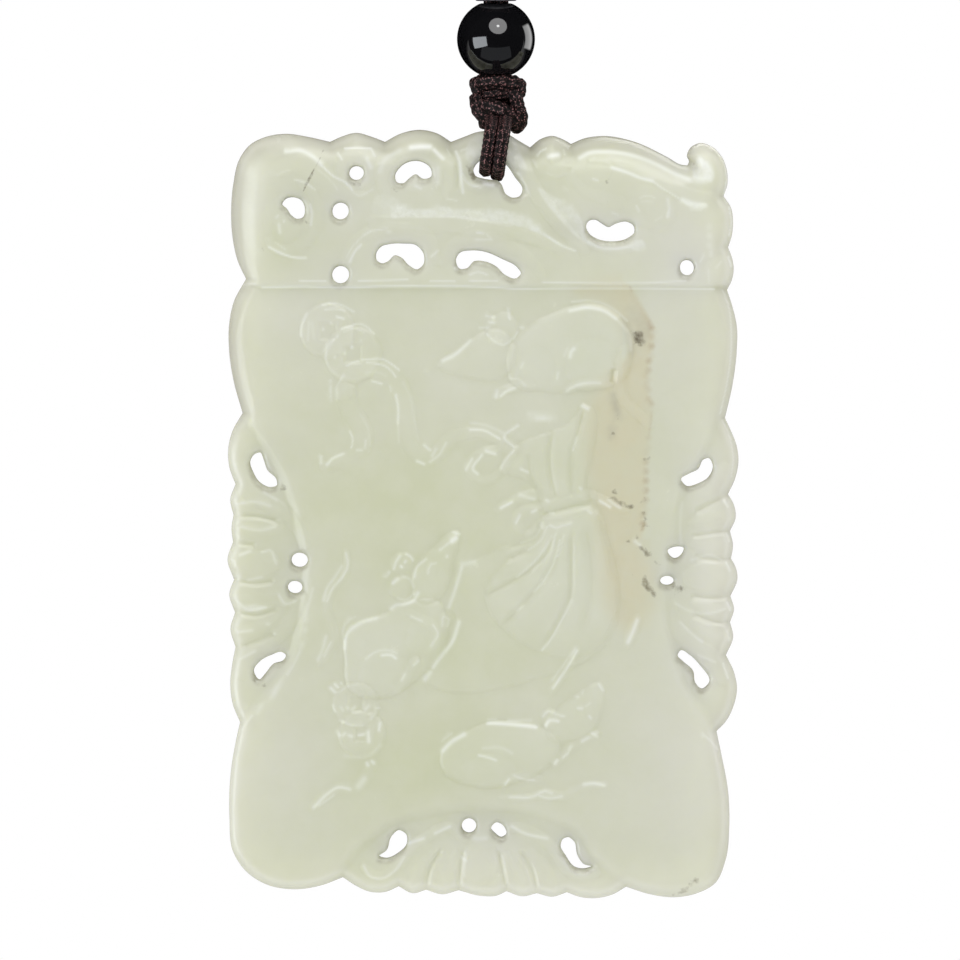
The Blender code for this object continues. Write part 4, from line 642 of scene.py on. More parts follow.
    ([(276, 243), (286, 250)], 1, 0.02, 0.4), ([(284, 221), (284, 222)], 1.4, 0.03, 0.6),
    ([(269, 247), (280, 253), (297, 258), (306, 258)], 1.4, 0.04, 0.9),
    ([(345, 149), (358, 148), (371, 149)], 1.4, 0.04, 0.9),
    ([(371, 149), (375, 156)], 1.8, 0.03, 0.6), ([(338, 154), (342, 160)], 1.4, 0.03, 0.7),
    ([(367, 159), (371, 168)], 2.6, 0.03, 0.6),
    ([(380, 172), (385, 160), (400, 151)], 3, 0.01, 0.3),
    ([(350, 262), (354, 253), (361, 245)], 1.7, 0.04, 0.8),
    ([(347, 258), (352, 248), (361, 238)], 1, 0.02, 0.4),
    ([(363, 236), (372, 231)], 1.2, 0.03, 0.6), ([(372, 231), (387, 229)], 1.2, 0.02, 0.5),
    ([(388, 232), (390, 232)], 2.2, 0.02, 0.4),
    ([(411, 148), (421, 147), (430, 147)], 3.2, 0.03, 0.95),
    ([(434, 150), (443, 159)], 2.4, 0.04, 0.8), ([(415, 186), (421, 189)], 1.6, 0.03, 0.6),
    ([(438, 168), (438, 184)], 2.6, 0.02, 0.4),
    ([(456, 152), (460, 163), (461, 178), (463, 193)], 2, 0.04, 0.8),
    ([(447, 199), (457, 201)], 1.2, 0.03, 0.5),
    ([(462, 173), (468, 184), (481, 188)], 1.2, 0.03, 0.6),
    ([(484, 184), (493, 186)], 2.2, 0.04, 0.9), ([(447, 149), (450, 156)], 1.4, 0.02, 0.4),
    ([(461, 151), (466, 149)], 1.6, 0.02, 0.4), ([(431, 257), (438, 251)], 1.4, 0.03, 0.6),
    ([(477, 233), (484, 234)], 1.2, 0.03, 0.6), ([(476, 240), (492, 240)], 1.4, 0.02, 0.5),
    ([(487, 235), (491, 239)], 1.4, 0.02, 0.4),
    ([(470, 275), (478, 272), (487, 275)], 1.3, 0.03, 0.6),
    ([(455, 268), (456, 269)], 1.6, 0.03, 0.8),
    # panel, right part
    ([(537, 156), (540, 152), (546, 149)], 1.4, 0.03, 0.7),
    ([(549, 157), (558, 155)], 3, 0.02, 0.9), ([(563, 150), (565, 155)], 1.2, 0.02, 0.5),
    ([(533, 160), (537, 167)], 1.2, 0.02, 0.4),
    ([(546, 173), (556, 177), (568, 173)], 1.1, 0.02, 0.25),
    ([(580, 158), (590, 153), (606, 152), (633, 156), (655, 164), (675, 174), (690, 180)], 2.8,
      0.03, 0.8), ([(699, 161), (708, 168), (708, 178), (698, 180)], 5, 0.01, 0.75),
    ([(593, 179), (598, 181)], 1.4, 0.02, 0.6), ([(589, 161), (595, 158)], 1.4, 0.01, 0.2),
    ([(612, 168), (628, 173), (640, 178), (652, 181)], 2.3, 0.04, 1),
    ([(652, 181), (663, 189), (678, 198)], 1, 0.03, 0.7),
    ([(682, 201), (694, 205), (705, 206)], 3.2, 0.02, 0.75),
    ([(640, 198), (647, 196), (655, 198)], 1.1, 0.02, 0.4),
    ([(641, 202), (653, 202)], 1, 0.02, 0.3), ([(636, 206), (639, 212)], 1.2, 0.02, 0.6),
    ([(655, 221), (662, 217)], 1.2, 0.02, 0.3),
    ([(668, 200), (669, 210), (668, 217)], 2, 0.02, 0.5),
    ([(668, 212), (667, 217)], 1.8, 0.02, 0.6),
    ([(588, 242), (600, 248), (615, 249), (630, 247)], 1.8, 0.03, 0.7),
    ([(612, 213), (618, 215)], 1.2, 0.02, 0.4), ([(563, 189), (567, 190)], 1.4, 0.02, 0.6),
    ([(709, 228), (710, 243), (711, 256)], 2.4, 0.01, 0.4),
    ([(705, 252), (700, 262)], 1.2, 0.02, 0.5),
    ([(549, 238), (560, 245), (575, 251)], 1.4, 0.03, 0.8),
    ([(708, 270), (709, 283)], 1.2, 0.01, 0.3), ([(716, 268), (721, 262)], 1.6, 0.01, 0.3),
    # rim on the right and the left
    ([(725, 160), (727, 180), (724, 195)], 1.6, 0.03, 0.6),
    ([(729, 208), (731, 222), (729, 236)], 1.6, 0.03, 0.6),
    ([(728, 257), (731, 266)], 1.8, 0.03, 0.7),
    ([(722, 290), (728, 305), (731, 328), (731, 350), (727, 382), (720, 414)], 1.4, 0.02, 0.6),
    ([(722, 420), (729, 436), (733, 458), (731, 477)], 1.4, 0.02, 0.5),
    # bats
    ([(238, 504), (256, 502), (270, 506)], 1.8, 0.04, 0.4),
    ([(264, 492), (277, 500)], 2, 0.04, 0.4),
    ([(240, 527), (262, 530), (275, 527)], 1.8, 0.04, 0.4),
    ([(240, 555), (250, 551)], 2.2, 0.04, 0.5),
    ([(262, 552), (270, 550), (276, 563)], 1.7, 0.04, 0.5),
    ([(248, 580), (262, 577)], 1.7, 0.04, 0.4),
    ([(236, 600), (247, 609), (266, 607)], 1.8, 0.04, 0.45),
    ([(238, 632), (252, 630)], 2, 0.04, 0.45), ([(267, 624), (269, 624)], 2, 0.04, 0.4),
    ([(240, 659), (255, 651)], 2, 0.04, 0.45),
    ([(279, 595), (286, 604), (295, 601)], 1.6, 0.04, 0.5),
    ([(313, 588), (306, 617), (303, 640), (295, 662), (283, 680), (268, 700), (250, 718),
      (242, 730)], 1.8, 0.03, 0.4), ([(724, 500), (728, 507)], 1.7, 0.04, 0.6),
    ([(726, 533), (729, 541)], 1.7, 0.04, 0.6), ([(726, 562), (730, 571)], 1.7, 0.04, 0.6),
    ([(727, 602), (730, 610)], 1.7, 0.04, 0.6), ([(727, 630), (729, 640)], 1.7, 0.04, 0.5),
    ([(723, 663), (728, 678)], 1.7, 0.04, 0.6),
    ([(682, 502), (680, 522), (681, 545)], 1.8, 0.03, 0.3),
    ([(691, 560), (710, 555), (722, 560)], 1.6, 0.04, 0.4),
    ([(675, 603), (690, 611), (710, 613), (725, 609)], 1.6, 0.04, 0.4),
    ([(680, 622), (692, 634), (702, 642)], 1.6, 0.04, 0.4),
    ([(698, 655), (715, 662)], 1.6, 0.04, 0.4),
    ([(700, 732), (712, 742), (717, 749)], 1.8, 0.03, 0.5),
    ([(408, 843), (424, 838)], 2, 0.05, 0.7), ([(435, 833), (450, 826)], 2, 0.05, 0.7),
    ([(512, 826), (522, 832), (547, 838)], 2, 0.05, 0.7), ([(474, 838), (486, 838)], 3, 0.03, 0.5),
    ([(462, 857), (466, 860)], 2, 0.04, 0.6),
    ([(364, 865), (369, 875), (382, 878), (395, 870), (404, 857)], 1.6, 0.04, 0.5),
    ([(596, 866), (586, 874), (572, 872), (562, 858)], 1.6, 0.04, 0.4),
]

# Where the rim's rounding is larger or smaller: centre, reach across and down, metres more
EDGE_ZONES = [
    ((250, 208), (60, 62), 0.0018), ((480, 150), (190, 45), 0.0014), ((640, 150), (70, 60), 0.001),
    ((240, 355), (30, 75), 0.0008), ((300, 800), (90, 75), -0.0003),
    ((660, 800), (90, 75), -0.0003),
]

# Beige skin of the stone: a patch with a soft left side and a crisp right side
SKIN_PATCH = [(628, 285), (637, 298), (642, 309), (652, 331), (650, 358), (647, 388), (651, 408),
              (648, 440), (645, 470), (645, 500), (642, 540), (652, 580), (650, 610), (628, 628),
              (606, 600), (600, 560), (596, 520), (590, 480), (586, 440), (590, 400), (606, 380),
              (628, 352), (622, 322), (600, 302), (576, 290), (590, 285)]
SKIN_LINE = [(630, 288), (642, 309), (652, 331), (649, 361), (647, 388), (651, 406), (647, 450),
             (645, 500), (642, 530)]

# Broad clouds of the stone: centre, reach across and down, how pale (below nothing: green)
CLOUDS = [
    ((690, 340), (45, 130), 0.9), ((690, 780), (60, 90), 1), ((715, 580), (24, 90), 1.2),
    ((290, 320), (60, 50), 0.7), ((430, 520), (90, 60), -0.6), ((300, 560), (40, 90), -0.1),
    ((500, 660), (90, 40), -0.6), ((430, 760), (90, 40), -0.6), ((460, 300), (120, 20), -0.3),
    ((250, 200), (22, 70), 0.9), ((290, 215), (30, 40), -0.3), ((690, 230), (50, 60), 0.8),
    ((450, 200), (130, 40), 0.3), ((270, 800), (60, 90), 0.6), ((480, 860), (90, 30), 0.6),
]

# Dark specks and lines, among them the crack of the upper left scroll, and painted shade
# beside some of the holes: points, half width, amount
STAINS_AND_SHADE = [
    ([(636, 334), (640, 342)], 6, 0.75), ([(619, 416)], 4, 0.5), ([(612, 433)], 4, 0.45),
    ([(647, 460)], 4, 0.5), ([(614, 491)], 4, 0.45), ([(612, 499), (630, 506)], 4, 0.6),
    ([(644, 498), (645, 525)], 3.5, 0.45), ([(624, 534)], 3, 0.5), ([(637, 537)], 3, 0.5),
    ([(628, 541)], 3, 0.5), ([(641, 548), (650, 555)], 4, 0.5), ([(656, 562)], 4, 0.5),
    ([(632, 577)], 4, 0.5), ([(643, 579), (652, 592)], 5, 0.6), ([(607, 182)], 3, 0.4),
    ([(607, 202)], 3, 0.4), ([(285, 487)], 5, 0.45), ([(256, 680), (263, 685)], 4, 0.55),
    ([(672, 584), (680, 590)], 5, 0.45), ([(675, 896), (697, 880)], 5, 0.35),
    ([(354, 185), (365, 183)], 4, 0.4), ([(390, 190), (402, 186)], 4, 0.4),
    ([(467, 166), (475, 179)], 4, 0.5),
    ([(323, 151), (318, 163), (311, 176), (303, 192)], 1.3, 0.62),
    ([(307, 223), (316, 226)], 2.5, 0.4), ([(264, 249), (257, 258)], 2.5, 0.4),
    ([(692, 158), (696, 168)], 4, 0.4),
]

# Grey haze in the stone, and painted shade along the top and left rim and at the upper rat's right
# side: points, half width, amount
SMOKE_AND_SHADE = [
    ([(632, 310), (646, 332)], 5, 0.3), ([(630, 334), (642, 340)], 5, 0.5),
    ([(626, 322), (631, 350)], 6, 0.28), ([(613, 396), (618, 416)], 4, 0.35),
    ([(612, 428), (611, 436)], 4, 0.3), ([(262, 460), (258, 560), (262, 660)], 34, 0.1),
    ([(300, 170), (300, 250)], 30, 0.07), ([(236, 330), (236, 420)], 8, 0.1),
    ([(236, 160), (234, 270)], 6, 0.16), ([(255, 138), (300, 137), (340, 143)], 7, 0.18),
    ([(412, 131), (430, 131)], 7, 0.5), ([(415, 153), (430, 153)], 6, 0.35),
    ([(250, 150), (300, 150)], 14, 0.25), ([(560, 230), (600, 240)], 12, 0.2),
]

# Pale patches: outline, amount. Some are matte frost of the stone; others are painted highlights,
# such as the broad band on the left bevel and the bright fill of the dragon's curl.
FROST_AND_HIGHLIGHTS = [
    ([(250, 165), (258, 176), (255, 205), (254, 228), (258, 246), (262, 256), (254, 258),
      (246, 246), (242, 222), (242, 192), (245, 174)], 0.12),
    ([(680, 198), (694, 202), (707, 205), (702, 210), (688, 207)], 0.85),
    ([(236, 599), (244, 604), (256, 604), (267, 607), (256, 611), (243, 610)], 0.5),
    ([(694, 164), (700, 158), (710, 166), (714, 178), (704, 183), (694, 181)], 0.8),
    ([(393, 207), (420, 210), (440, 207), (470, 210), (490, 208), (510, 212), (530, 219),
      (547, 235), (562, 245), (545, 237), (520, 227), (490, 223), (450, 218), (405, 218),
      (390, 217)], 0.8), ([(376, 196), (400, 203), (396, 216), (372, 213)], 0.35),
    ([(538, 188), (556, 198), (574, 208), (582, 222), (586, 238), (592, 246), (578, 238),
      (562, 222), (548, 206)], 0.6), ([(630, 243), (643, 241), (646, 249), (632, 250)], 0.5),
    ([(480, 134), (466, 148), (466, 160), (480, 166), (484, 150)], 0.6),
    ([(510, 136), (522, 156), (526, 170), (514, 168), (508, 152)], 0.55),
]

# The knot: points on the sheet, heights in millimetres, radius as a share of the cord's
KNOT_WRAPS = [
    ([(477, 79), (476, 84), (479, 92), (480, 97)], [2.6, 3, 2.8, 2.2], 1.05),
    ([(520, 79), (520, 88), (519, 97)], [2.6, 3, 2.4], 0.95),
    ([(476, 83), (486, 82), (498, 81), (511, 83), (519, 83)], [2.6, 3.4, 3.7, 3.4, 2.7], 1.2),
    ([(479, 94), (490, 95), (500, 93), (510, 92), (516, 94)], [2.2, 3, 3.2, 3, 2.4], 0.95),
    ([(477, 94), (477, 103), (480, 112), (489, 118), (497, 121)], [2.4, 3, 3.3, 3.2, 2.6], 1.15),
    ([(482, 106), (491, 107), (501, 111), (511, 118), (516, 125)], [3, 3.7, 3.9, 3.5, 2.6], 1.25),
    ([(510, 90), (516, 98), (518, 107), (521, 117), (519, 125), (511, 129)], [2.8, 3.4, 3.3, 3.1,
      2.8, 2.4], 1.05), ([(486, 112), (484, 121), (484, 129)], [2.6, 3.2, 3], 0.85),
    ([(490, 120), (499, 123), (509, 127)], [2.6, 3, 2.6], 1.05),
    ([(486, 100), (494, 100), (503, 103)], [1.2, 1.4, 1.4], 1.1),
    ([(488, 80), (489, 104), (492, 126)], [1.4, 1.5, 2], 1.6),
    ([(508, 80), (507, 104), (505, 126)], [1.4, 1.5, 2], 1.6),
]

# The two strands through the plaque, front to back: points on the sheet, heights in
# millimetres
LOOP_STRANDS = {
    "loop_strand_left": (
        [(492, 118), (491.5, 126), (490, 137), (488, 150), (486.5, 160), (485.8, 167),
         (485.6, 170), (486, 168), (487.5, 158), (489, 145), (490, 134)],
        [3.2, 5.6, 7.55, 7.62, 7.35, 6.2, 4.3, 2.5, 1.35, 1.1, 1]),
    "loop_strand_right": (
        [(505, 118), (504.5, 126), (503, 137), (501, 150), (499.4, 162), (498, 171),
         (497.4, 175), (497, 172), (497, 161), (497, 146), (497, 134)],
        [3.2, 5.6, 7.55, 7.62, 7.3, 6, 4.2, 2.5, 1.35, 1.1, 1]),
}


def on_plaque(points):
    """Metres in x and y of places on the sheet."""
    return (np.asarray(points, float) - np.array(SHEET_CENTRE)) * np.array(SHEET_SCALE)


def on_sheet(points):
    """Places on the sheet of metres in x and y, the inverse of on_plaque."""
    return np.asarray(points, float) / np.array(SHEET_SCALE) + np.array(SHEET_CENTRE)


def curve_through(points, step, closed=False):
    """Points about a step apart on the smooth curve through the given points.

    The direction at each point is the mean of its two chords, each weighed by the other's
    length, and a cubic joins every pair of points.
    """
    knots = np.asarray(points, float)
    if closed:
        padded = np.vstack([knots[-1], knots, knots[0], knots[1]])
    else:
        padded = np.vstack([2 * knots[0] - knots[1], knots, 2 * knots[-1] - knots[-2]])
    chords = np.diff(padded, axis=0)
    lengths = np.linalg.norm(chords, axis=1)
    unit = chords / lengths[:, None]
    weight = lengths[:-1] / (lengths[:-1] + lengths[1:])
    slopes = unit[:-1] * (1 - weight)[:, None] + unit[1:] * weight[:, None]
    inner = padded[1:-1]
    pieces = []
    for start, end, leave, arrive in zip(inner[:-1], inner[1:], slopes[:-1], slopes[1:]):
        length = np.linalg.norm(end - start)
        count = max(1, round(length / step))
        t = (np.arange(count) / count)[:, None]
        pieces.append(start * (2 * t**3 - 3 * t**2 + 1) + end * (3 * t**2 - 2 * t**3)
                      + leave * length * (t**3 - 2 * t**2 + t) + arrive * length * (t**3 - t**2))
    if not closed:
        pieces.append(inner[-1:])
    return np.vstack(pieces)


def smooth(value):
    """Eases from 0 to 1 while the value goes from 0 to 1."""
    t = np.clip(value, 0, 1)
    return t * t * (3 - 2 * t)


# ---------------------------------------------------------------- meshes


def new_mesh(name, points, faces, corner_uv=None, attributes=None):
    """A smooth-shaded object of the given corners and faces, with its UV map and attributes."""
    mesh = bpy.data.meshes.new(name)
    mesh.from_pydata(np.asarray(points).tolist(), [], faces)
    mesh.shade_smooth()
    if corner_uv is not None:
        layer = mesh.uv_layers.new(name="UVMap")
        layer.data.foreach_set("uv", np.asarray(corner_uv, float).ravel())
    for key, values in (attributes or {}).items():
        layer = mesh.attributes.new(key, "FLOAT", "POINT")
        layer.data.foreach_set("value", np.asarray(values, np.float32))
    piece = bpy.data.objects.new(name, mesh)
    bpy.context.scene.collection.objects.link(piece)
    return piece


def frames_along(path):
    """Two directions square to a path at each of its points, turned as little as possible."""
    ahead = np.gradient(path, axis=0)
    ahead /= np.linalg.norm(ahead, axis=1)[:, None]
    side = np.cross(ahead[0], (0.31, 0.17, 0.93))
    sides = []
    for direction in ahead:
        side = side - direction * (side @ direction)
        side = side / np.linalg.norm(side)
        sides.append(side)
    sides = np.array(sides)
    return sides, np.cross(ahead, sides)


def tube(path, radius, sides, weave=0.0):
    """A round cord carried along a path: corners, faces and corner UVs.

    Round the path the cord is a circle whose radius swells and sinks by the weave's share, as
    the product of two cosines that wind opposite ways: the strands of a round braid. Both ends
    close in a rounded cap.
    """
    ends = np.concatenate([[0], np.cumsum(np.linalg.norm(np.diff(path, axis=0), axis=1))])
    side, up = frames_along(path)
    turn = np.arange(sides) / sides
    wind, run = STRANDS_ROUND * turn[None, :], ends[:, None] / CORD_DIAMETER
    braid = np.cos(math.tau * (wind + run)) * np.cos(math.tau * (wind - run))
    near_end = np.minimum(ends, ends[-1] - ends) / radius
    cap = np.sqrt(np.clip(1 - (1 - np.clip(near_end, 0, 1)) ** 2, 0.02, 1))
    reach = radius * cap[:, None] * (1 + weave * braid)
    angle = math.tau * turn
    ring = (side[:, None, :] * np.cos(angle)[None, :, None]
            + up[:, None, :] * np.sin(angle)[None, :, None])
    points = (path[:, None, :] + ring * reach[:, :, None]).reshape(-1, 3)
    points = np.vstack([points, path[:1], path[-1:]])
    row, column = np.meshgrid(np.arange(len(path) - 1), np.arange(sides), indexing="ij")
    row, column = row.ravel(), column.ravel()
    across = (column + 1) % sides
    quads = np.column_stack([row * sides + column, row * sides + across,
                             (row + 1) * sides + across, (row + 1) * sides + column])
    far = ends / radius / 10
    u0, u1 = column / sides, (column + 1) / sides
    uv = np.stack([np.column_stack([u, v]) for u, v in
                   ((u0, far[row]), (u1, far[row]), (u1, far[row + 1]), (u0, far[row + 1]))],
                  axis=1).reshape(-1, 2)
    first = np.arange(sides)
    second = (first + 1) % sides
    last = (len(path) - 1) * sides
    near_cap = np.column_stack([second, first, np.full(sides, len(points) - 2)])
    far_cap = np.column_stack([last + first, last + second, np.full(sides, len(points) - 1)])
    flat = np.tile(np.array([[0.0, 0.0], [0.1, 0.0], [0.05, 0.02]]), (sides, 1))
    faces = quads.tolist() + near_cap.tolist() + far_cap.tolist()
    return points, faces, np.vstack([uv, flat, flat + np.array([0.0, far[-1]])])


def joined_tubes(name, parts):
    """Several tubes in one mesh."""
    points, faces, uvs, start = [], [], [], 0
    for part_points, part_faces, part_uv in parts:
        points.append(part_points)
        faces += [[corner + start for corner in face] for face in part_faces]
        uvs.append(part_uv)
        start += len(part_points)
    return new_mesh(name, np.vstack(points), faces, np.vstack(uvs))


def turned(name, profile, centre, count):
    """A closed ring about the Y axis: the profile's (radius, height) pairs carried round it."""
    profile = np.asarray(profile, float)
    turn = math.tau * np.arange(count) / count
    radius, height = profile[:, 0], profile[:, 1]
    points = np.stack([radius[:, None] * np.cos(turn), np.tile(height[:, None], (1, count)),
                       radius[:, None] * np.sin(turn)], axis=2).reshape(-1, 3)
    row, column = np.meshgrid(np.arange(len(profile)), np.arange(count), indexing="ij")
    row, column = row.ravel(), column.ravel()
    after, across = (row + 1) % len(profile), (column + 1) % count
    quads = np.column_stack([row * count + column, after * count + column,
                             after * count + across, row * count + across])
    return new_mesh(name, points + np.asarray(centre), quads.tolist())


# ---------------------------------------------------------------- cord, knot and beads


def middle_of(node):
    """Middle of a node's plain solid."""
    low, high = (np.array(corner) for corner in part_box(node))
    return (low + high) / 2


def spacer_end():
    """Where the cord leaves the spacer bead."""
    seat = BEAD_DIAMETER / 2 + CLEARANCE
    foot = math.sqrt(seat**2 - (SPACER_DIAMETER / 2 - SPACER_LIP) ** 2)
    return middle_of("black_bead")[1] + foot + SPACER_LENGTH


def lead_route(side):
    """A neck strand: through the beads from the knot, down to the ground and to the coil."""
    x, _, bore_z = middle_of("black_bead")
    start = middle_of("cord_knot")[1] + KNOT_LENGTH / 2 + CLEARANCE
    out = spacer_end()
    near = STRAND_SPACING / 2
    reach = COIL_MIDDLE + 1.5 * CORD_DIAMETER - near
    low = CORD_DIAMETER / 2
    climb = 0.0 if side < 0 else 3 * CORD_DIAMETER
    route = [(x + side * near, y, bore_z) for y in (start, (start + out) / 2, out)]
    for run, sideways, fall, rise in LEAD_ROUTE:
        route.append((x + side * (near + reach * sideways), out + LEAD_RUN * run,
                      bore_z + (low - bore_z) * fall + climb * rise))
    return route


def coil_route(centre):
    """The wound length, from the coil's left side to its right side, clockwise from above.

    Turn after turn takes the next of sixteen places of the coil's section, in and out by rows
    from the lowest. In the last sixth of each turn the cord moves over to the next place, and
    it bows out a little where it climbs to the next row.
    """
    places = []
    for row in range(4):
        across = [1.5, 0.5, -0.5, -1.5] if row % 2 == 0 else [-1.5, -0.5, 0.5, 1.5]
        places += [(COIL_MIDDLE + CORD_DIAMETER * one, CORD_DIAMETER * (row + 0.5))
                   for one in across]
    places.append(places[-1])
    places = np.array(places)
    turns = np.arange(0, COIL_TURNS + 1e-6, 1 / 28)
    place = np.minimum(turns.astype(int), 15)
    share = smooth((turns - place - 5 / 6) * 6)
    now, then = places[place], places[place + 1]
    spot = now + (then - now) * share[:, None]
    climbs = now[:, 1] != then[:, 1]
    outside = np.where(now[:, 0] > COIL_MIDDLE, 1, -1)
    radius = spot[:, 0] + climbs * outside * 0.35 * CORD_DIAMETER * 4 * share * (1 - share)
    angle = math.pi - math.tau * turns
    return np.column_stack([centre[0] + radius * np.cos(angle), centre[1]
                            + radius * np.sin(angle), COIL_REST + spot[:, 1]])


def neck_cord_route():
    """The whole neck cord: out through the beads, round the coil and back."""
    x = middle_of("black_bead")[0]
    centre = (x, spacer_end() + COIL_REACH)
    left, right = lead_route(-1), lead_route(1)
    into_knot = np.array((0, 0.0012, 0.0005))
    start, finish = np.array(left[0]) - into_knot, np.array(right[0]) - into_knot
    side = COIL_MIDDLE + 1.5 * CORD_DIAMETER
    height = COIL_REST + 3.5 * CORD_DIAMETER
    onto = [(x - side, centre[1] - 0.0035, 0.85 * CORD_DIAMETER)]
    off = [(x + side, centre[1] - 0.0022, height - 0.00005),
           (x + side, centre[1] - 0.0044, height - 0.0005)]
    route = np.vstack([start, left, onto, coil_route(centre), off, right[::-1], finish])
    return curve_through(route, CORD_STEP)


def make_neck_cord():
    """The neck cord in one piece, and the two ties of two wraps each round its coil."""
    path = neck_cord_route()
    cord = new_mesh("neck_cord", *tube(path, CORD_DIAMETER / 2, 12))
    middle = np.array([middle_of("black_bead")[0], spacer_end() + COIL_REACH])
    section = tie_section()
    ties = []
    for angle in map(math.radians, TIE_ANGLES):
        outwards = np.array([math.cos(angle), math.sin(angle)])
        along = np.array([-outwards[1], outwards[0]]) * TIE_DIAMETER * 1.1
        for shift in (-0.5, 0.5):
            line = np.column_stack([middle + outwards * section[:, :1] + along * shift,
                                    section[:, 1]])
            ties.append(tube(line, TIE_DIAMETER / 2, 10))
    return cord, path, joined_tubes("coil_ties", ties)


def tie_section():
    """One wrap of thread close round the coil's section: (radius, height) round the loop."""
    half, thick = 2 * CORD_DIAMETER, TIE_DIAMETER / 2 + 0.00002
    low, high = COIL_REST - thick, COIL_REST + 4 * CORD_DIAMETER + thick
    inner, outer = COIL_MIDDLE - half - thick, COIL_MIDDLE + half + thick
    cut = 0.0006
    quarter = np.linspace(0, math.pi / 2, 5)[:, None]
    corners = [((outer - cut, high - cut), 0), ((inner + cut, high - cut), 1),
               ((inner + cut, low + cut), 2), ((outer - cut, low + cut), 3)]
    ring = np.vstack([np.array(middle) + cut * np.column_stack(
        [np.cos(quarter + math.pi / 2 * start), np.sin(quarter + math.pi / 2 * start)])
        for middle, start in corners])
    loop = curve_through(ring, 0.0002, closed=True)
    return np.vstack([loop, loop[:2]])


def sheet_path(points, heights):
    """A smooth path from places on the sheet and heights in millimetres."""
    route = np.column_stack([on_plaque(points), np.asarray(heights, float) / 1000])
    return curve_through(route, BRAID_STEP)


def make_knot():
    """The knot: wraps of the braid round the strands, a turned strand and two bights."""
    return joined_tubes("braided_knot", [
        tube(sheet_path(points, heights), CORD_DIAMETER / 2 * size, BRAID_SIDES, BRAID_WEAVE)
        for points, heights, size in KNOT_WRAPS])


def make_hanging_loops():
    """The two strands that hold the plaque, over its front and up behind it."""
    return [joined_tubes(name, [tube(sheet_path(points, heights), CORD_DIAMETER / 2,
                                     BRAID_SIDES, BRAID_WEAVE)])
            for name, (points, heights) in LOOP_STRANDS.items()]


def make_beads():
    """The polished black bead and the round-edged spacer that sits on it."""
    radius, bore = BEAD_DIAMETER / 2, BEAD_BORE / 2
    first = math.asin(bore / radius)
    arc = np.linspace(first + 0.06, math.pi - first - 0.06, 90)
    lip = 0.0001
    depth = radius * math.cos(first)
    outer = [(radius * math.sin(turn), radius * math.cos(turn)) for turn in arc]
    place = middle_of("black_bead")
    bead = turned("polished_bead", [(bore, depth - 2 * lip), (bore + 0.3 * lip, depth - 0.4 * lip),
                                    *outer, (bore + 0.3 * lip, 0.4 * lip - depth),
                                    (bore, 2 * lip - depth)], place, 160)
    reach, edge = SPACER_DIAMETER / 2, SPACER_EDGE
    seat = radius + CLEARANCE
    hollow = [(spot, math.sqrt(seat**2 - spot**2))
              for spot in np.linspace(bore, reach - SPACER_LIP, 8)]
    foot = hollow[-1][1]
    top = foot + SPACER_LENGTH
    turns = np.linspace(0, math.pi / 2, 16)
    shoulder = [(reach - edge * (1 - math.cos(t)), top - edge * (1 - math.sin(t))) for t in turns]
    ring = [(reach, foot + 0.0003 + 0.0002 * i) for i in range(4)]
    spacer = turned("grey_spacer", [*hollow, (reach - 0.00004, foot + 0.0001), *ring, *shoulder,
                                    (bore, top)][::-1], place, 120)
    return bead, spacer


# ---------------------------------------------------------------- carved plaque


def rim_outline():
    """The rim in metres, fitted to the plaque's width and length."""
    lobes = [curve_through(lobe, RIM_STEP / STEP)[:-1] for lobe in RIM]
    rim = on_plaque(np.vstack(lobes))
    low, high = rim.min(axis=0), rim.max(axis=0)
    return (rim - (low + high) / 2) * np.array([PLAQUE_WIDTH, PLAQUE_LENGTH]) / (high - low)


def hole_outlines():
    """Every pierced hole in metres: the free curves, then the round ones."""
    step = RIM_STEP / STEP
    holes = [on_plaque(curve_through(points, step, closed=True)) for points in HOLES.values()]
    for (x, y), half_width, half_height in ROUND_HOLES.values():
        count = max(16, round(math.tau * half_width / step))
        turn = np.arange(count) * math.tau / count
        ring = np.column_stack([x + half_width * np.cos(turn), y + half_height * np.sin(turn)])
        holes.append(on_plaque(ring))
    return holes


def near_path(points, starts, ends):
    """Distance from each point to some straight edges, and the number of the nearest edge."""
    along = ends - starts
    size = np.maximum((along**2).sum(axis=1), 1e-12)
    gap = points[:, None, :] - starts[None, :, :]
    share = np.clip((gap * along[None]).sum(axis=2) / size, 0, 1)
    gap -= share[:, :, None] * along[None]
    reach = np.sqrt((gap**2).sum(axis=2))
    nearest = reach.argmin(axis=1)
    pick = np.arange(len(points))
    return reach[pick, nearest], nearest + share[pick, nearest]


def near_line(points, line):
    """Distance from each point to an open line, and how far along it, from 0 to 1."""
    reach, place = near_path(points, line[:-1], line[1:])
    return reach, place / (len(line) - 1)


def near_loop(points, loop):
    """Distance from each point to a closed loop."""
    return near_path(points, loop, np.roll(loop, -1, axis=0))[0]


def depth_inside(points, loop):
    """Depth of each point inside a closed loop, less than nothing outside it."""
    reach = np.empty(len(points))
    for some in np.array_split(np.arange(len(points)), max(1, len(points) // 4000)):
        reach[some] = near_loop(points[some], loop)
    return np.where(inside_loop(points, loop), reach, -reach)


def clear_points(points, rim, holes, gap):
    """The points that lie in the jade, farther than a gap from its rim and its holes."""
    points = points[in_jade(points, rim, holes)]
    return points[distance_to_loops(points, [rim, *holes], 1.2 * gap) > gap]


def distance_to_loops(points, loops, limit):
    """Distance from each point to the nearest loop, no more than the limit, row by row."""
    starts = np.vstack(loops)
    ends = np.vstack([np.roll(loop, -1, axis=0) for loop in loops])
    low, high = np.minimum(starts, ends)[:, 1], np.maximum(starts, ends)[:, 1]
    result = np.full(len(points), limit)
    order = np.argsort(points[:, 1])
    for rows in np.array_split(order, max(1, len(points) // 700)):
        edges = ((low < points[rows, 1].max() + limit) & (high > points[rows, 1].min() - limit))
        if edges.any():
            reach, _ = near_path(points[rows], starts[edges], ends[edges])
            result[rows] = np.minimum(reach, limit)
    return result


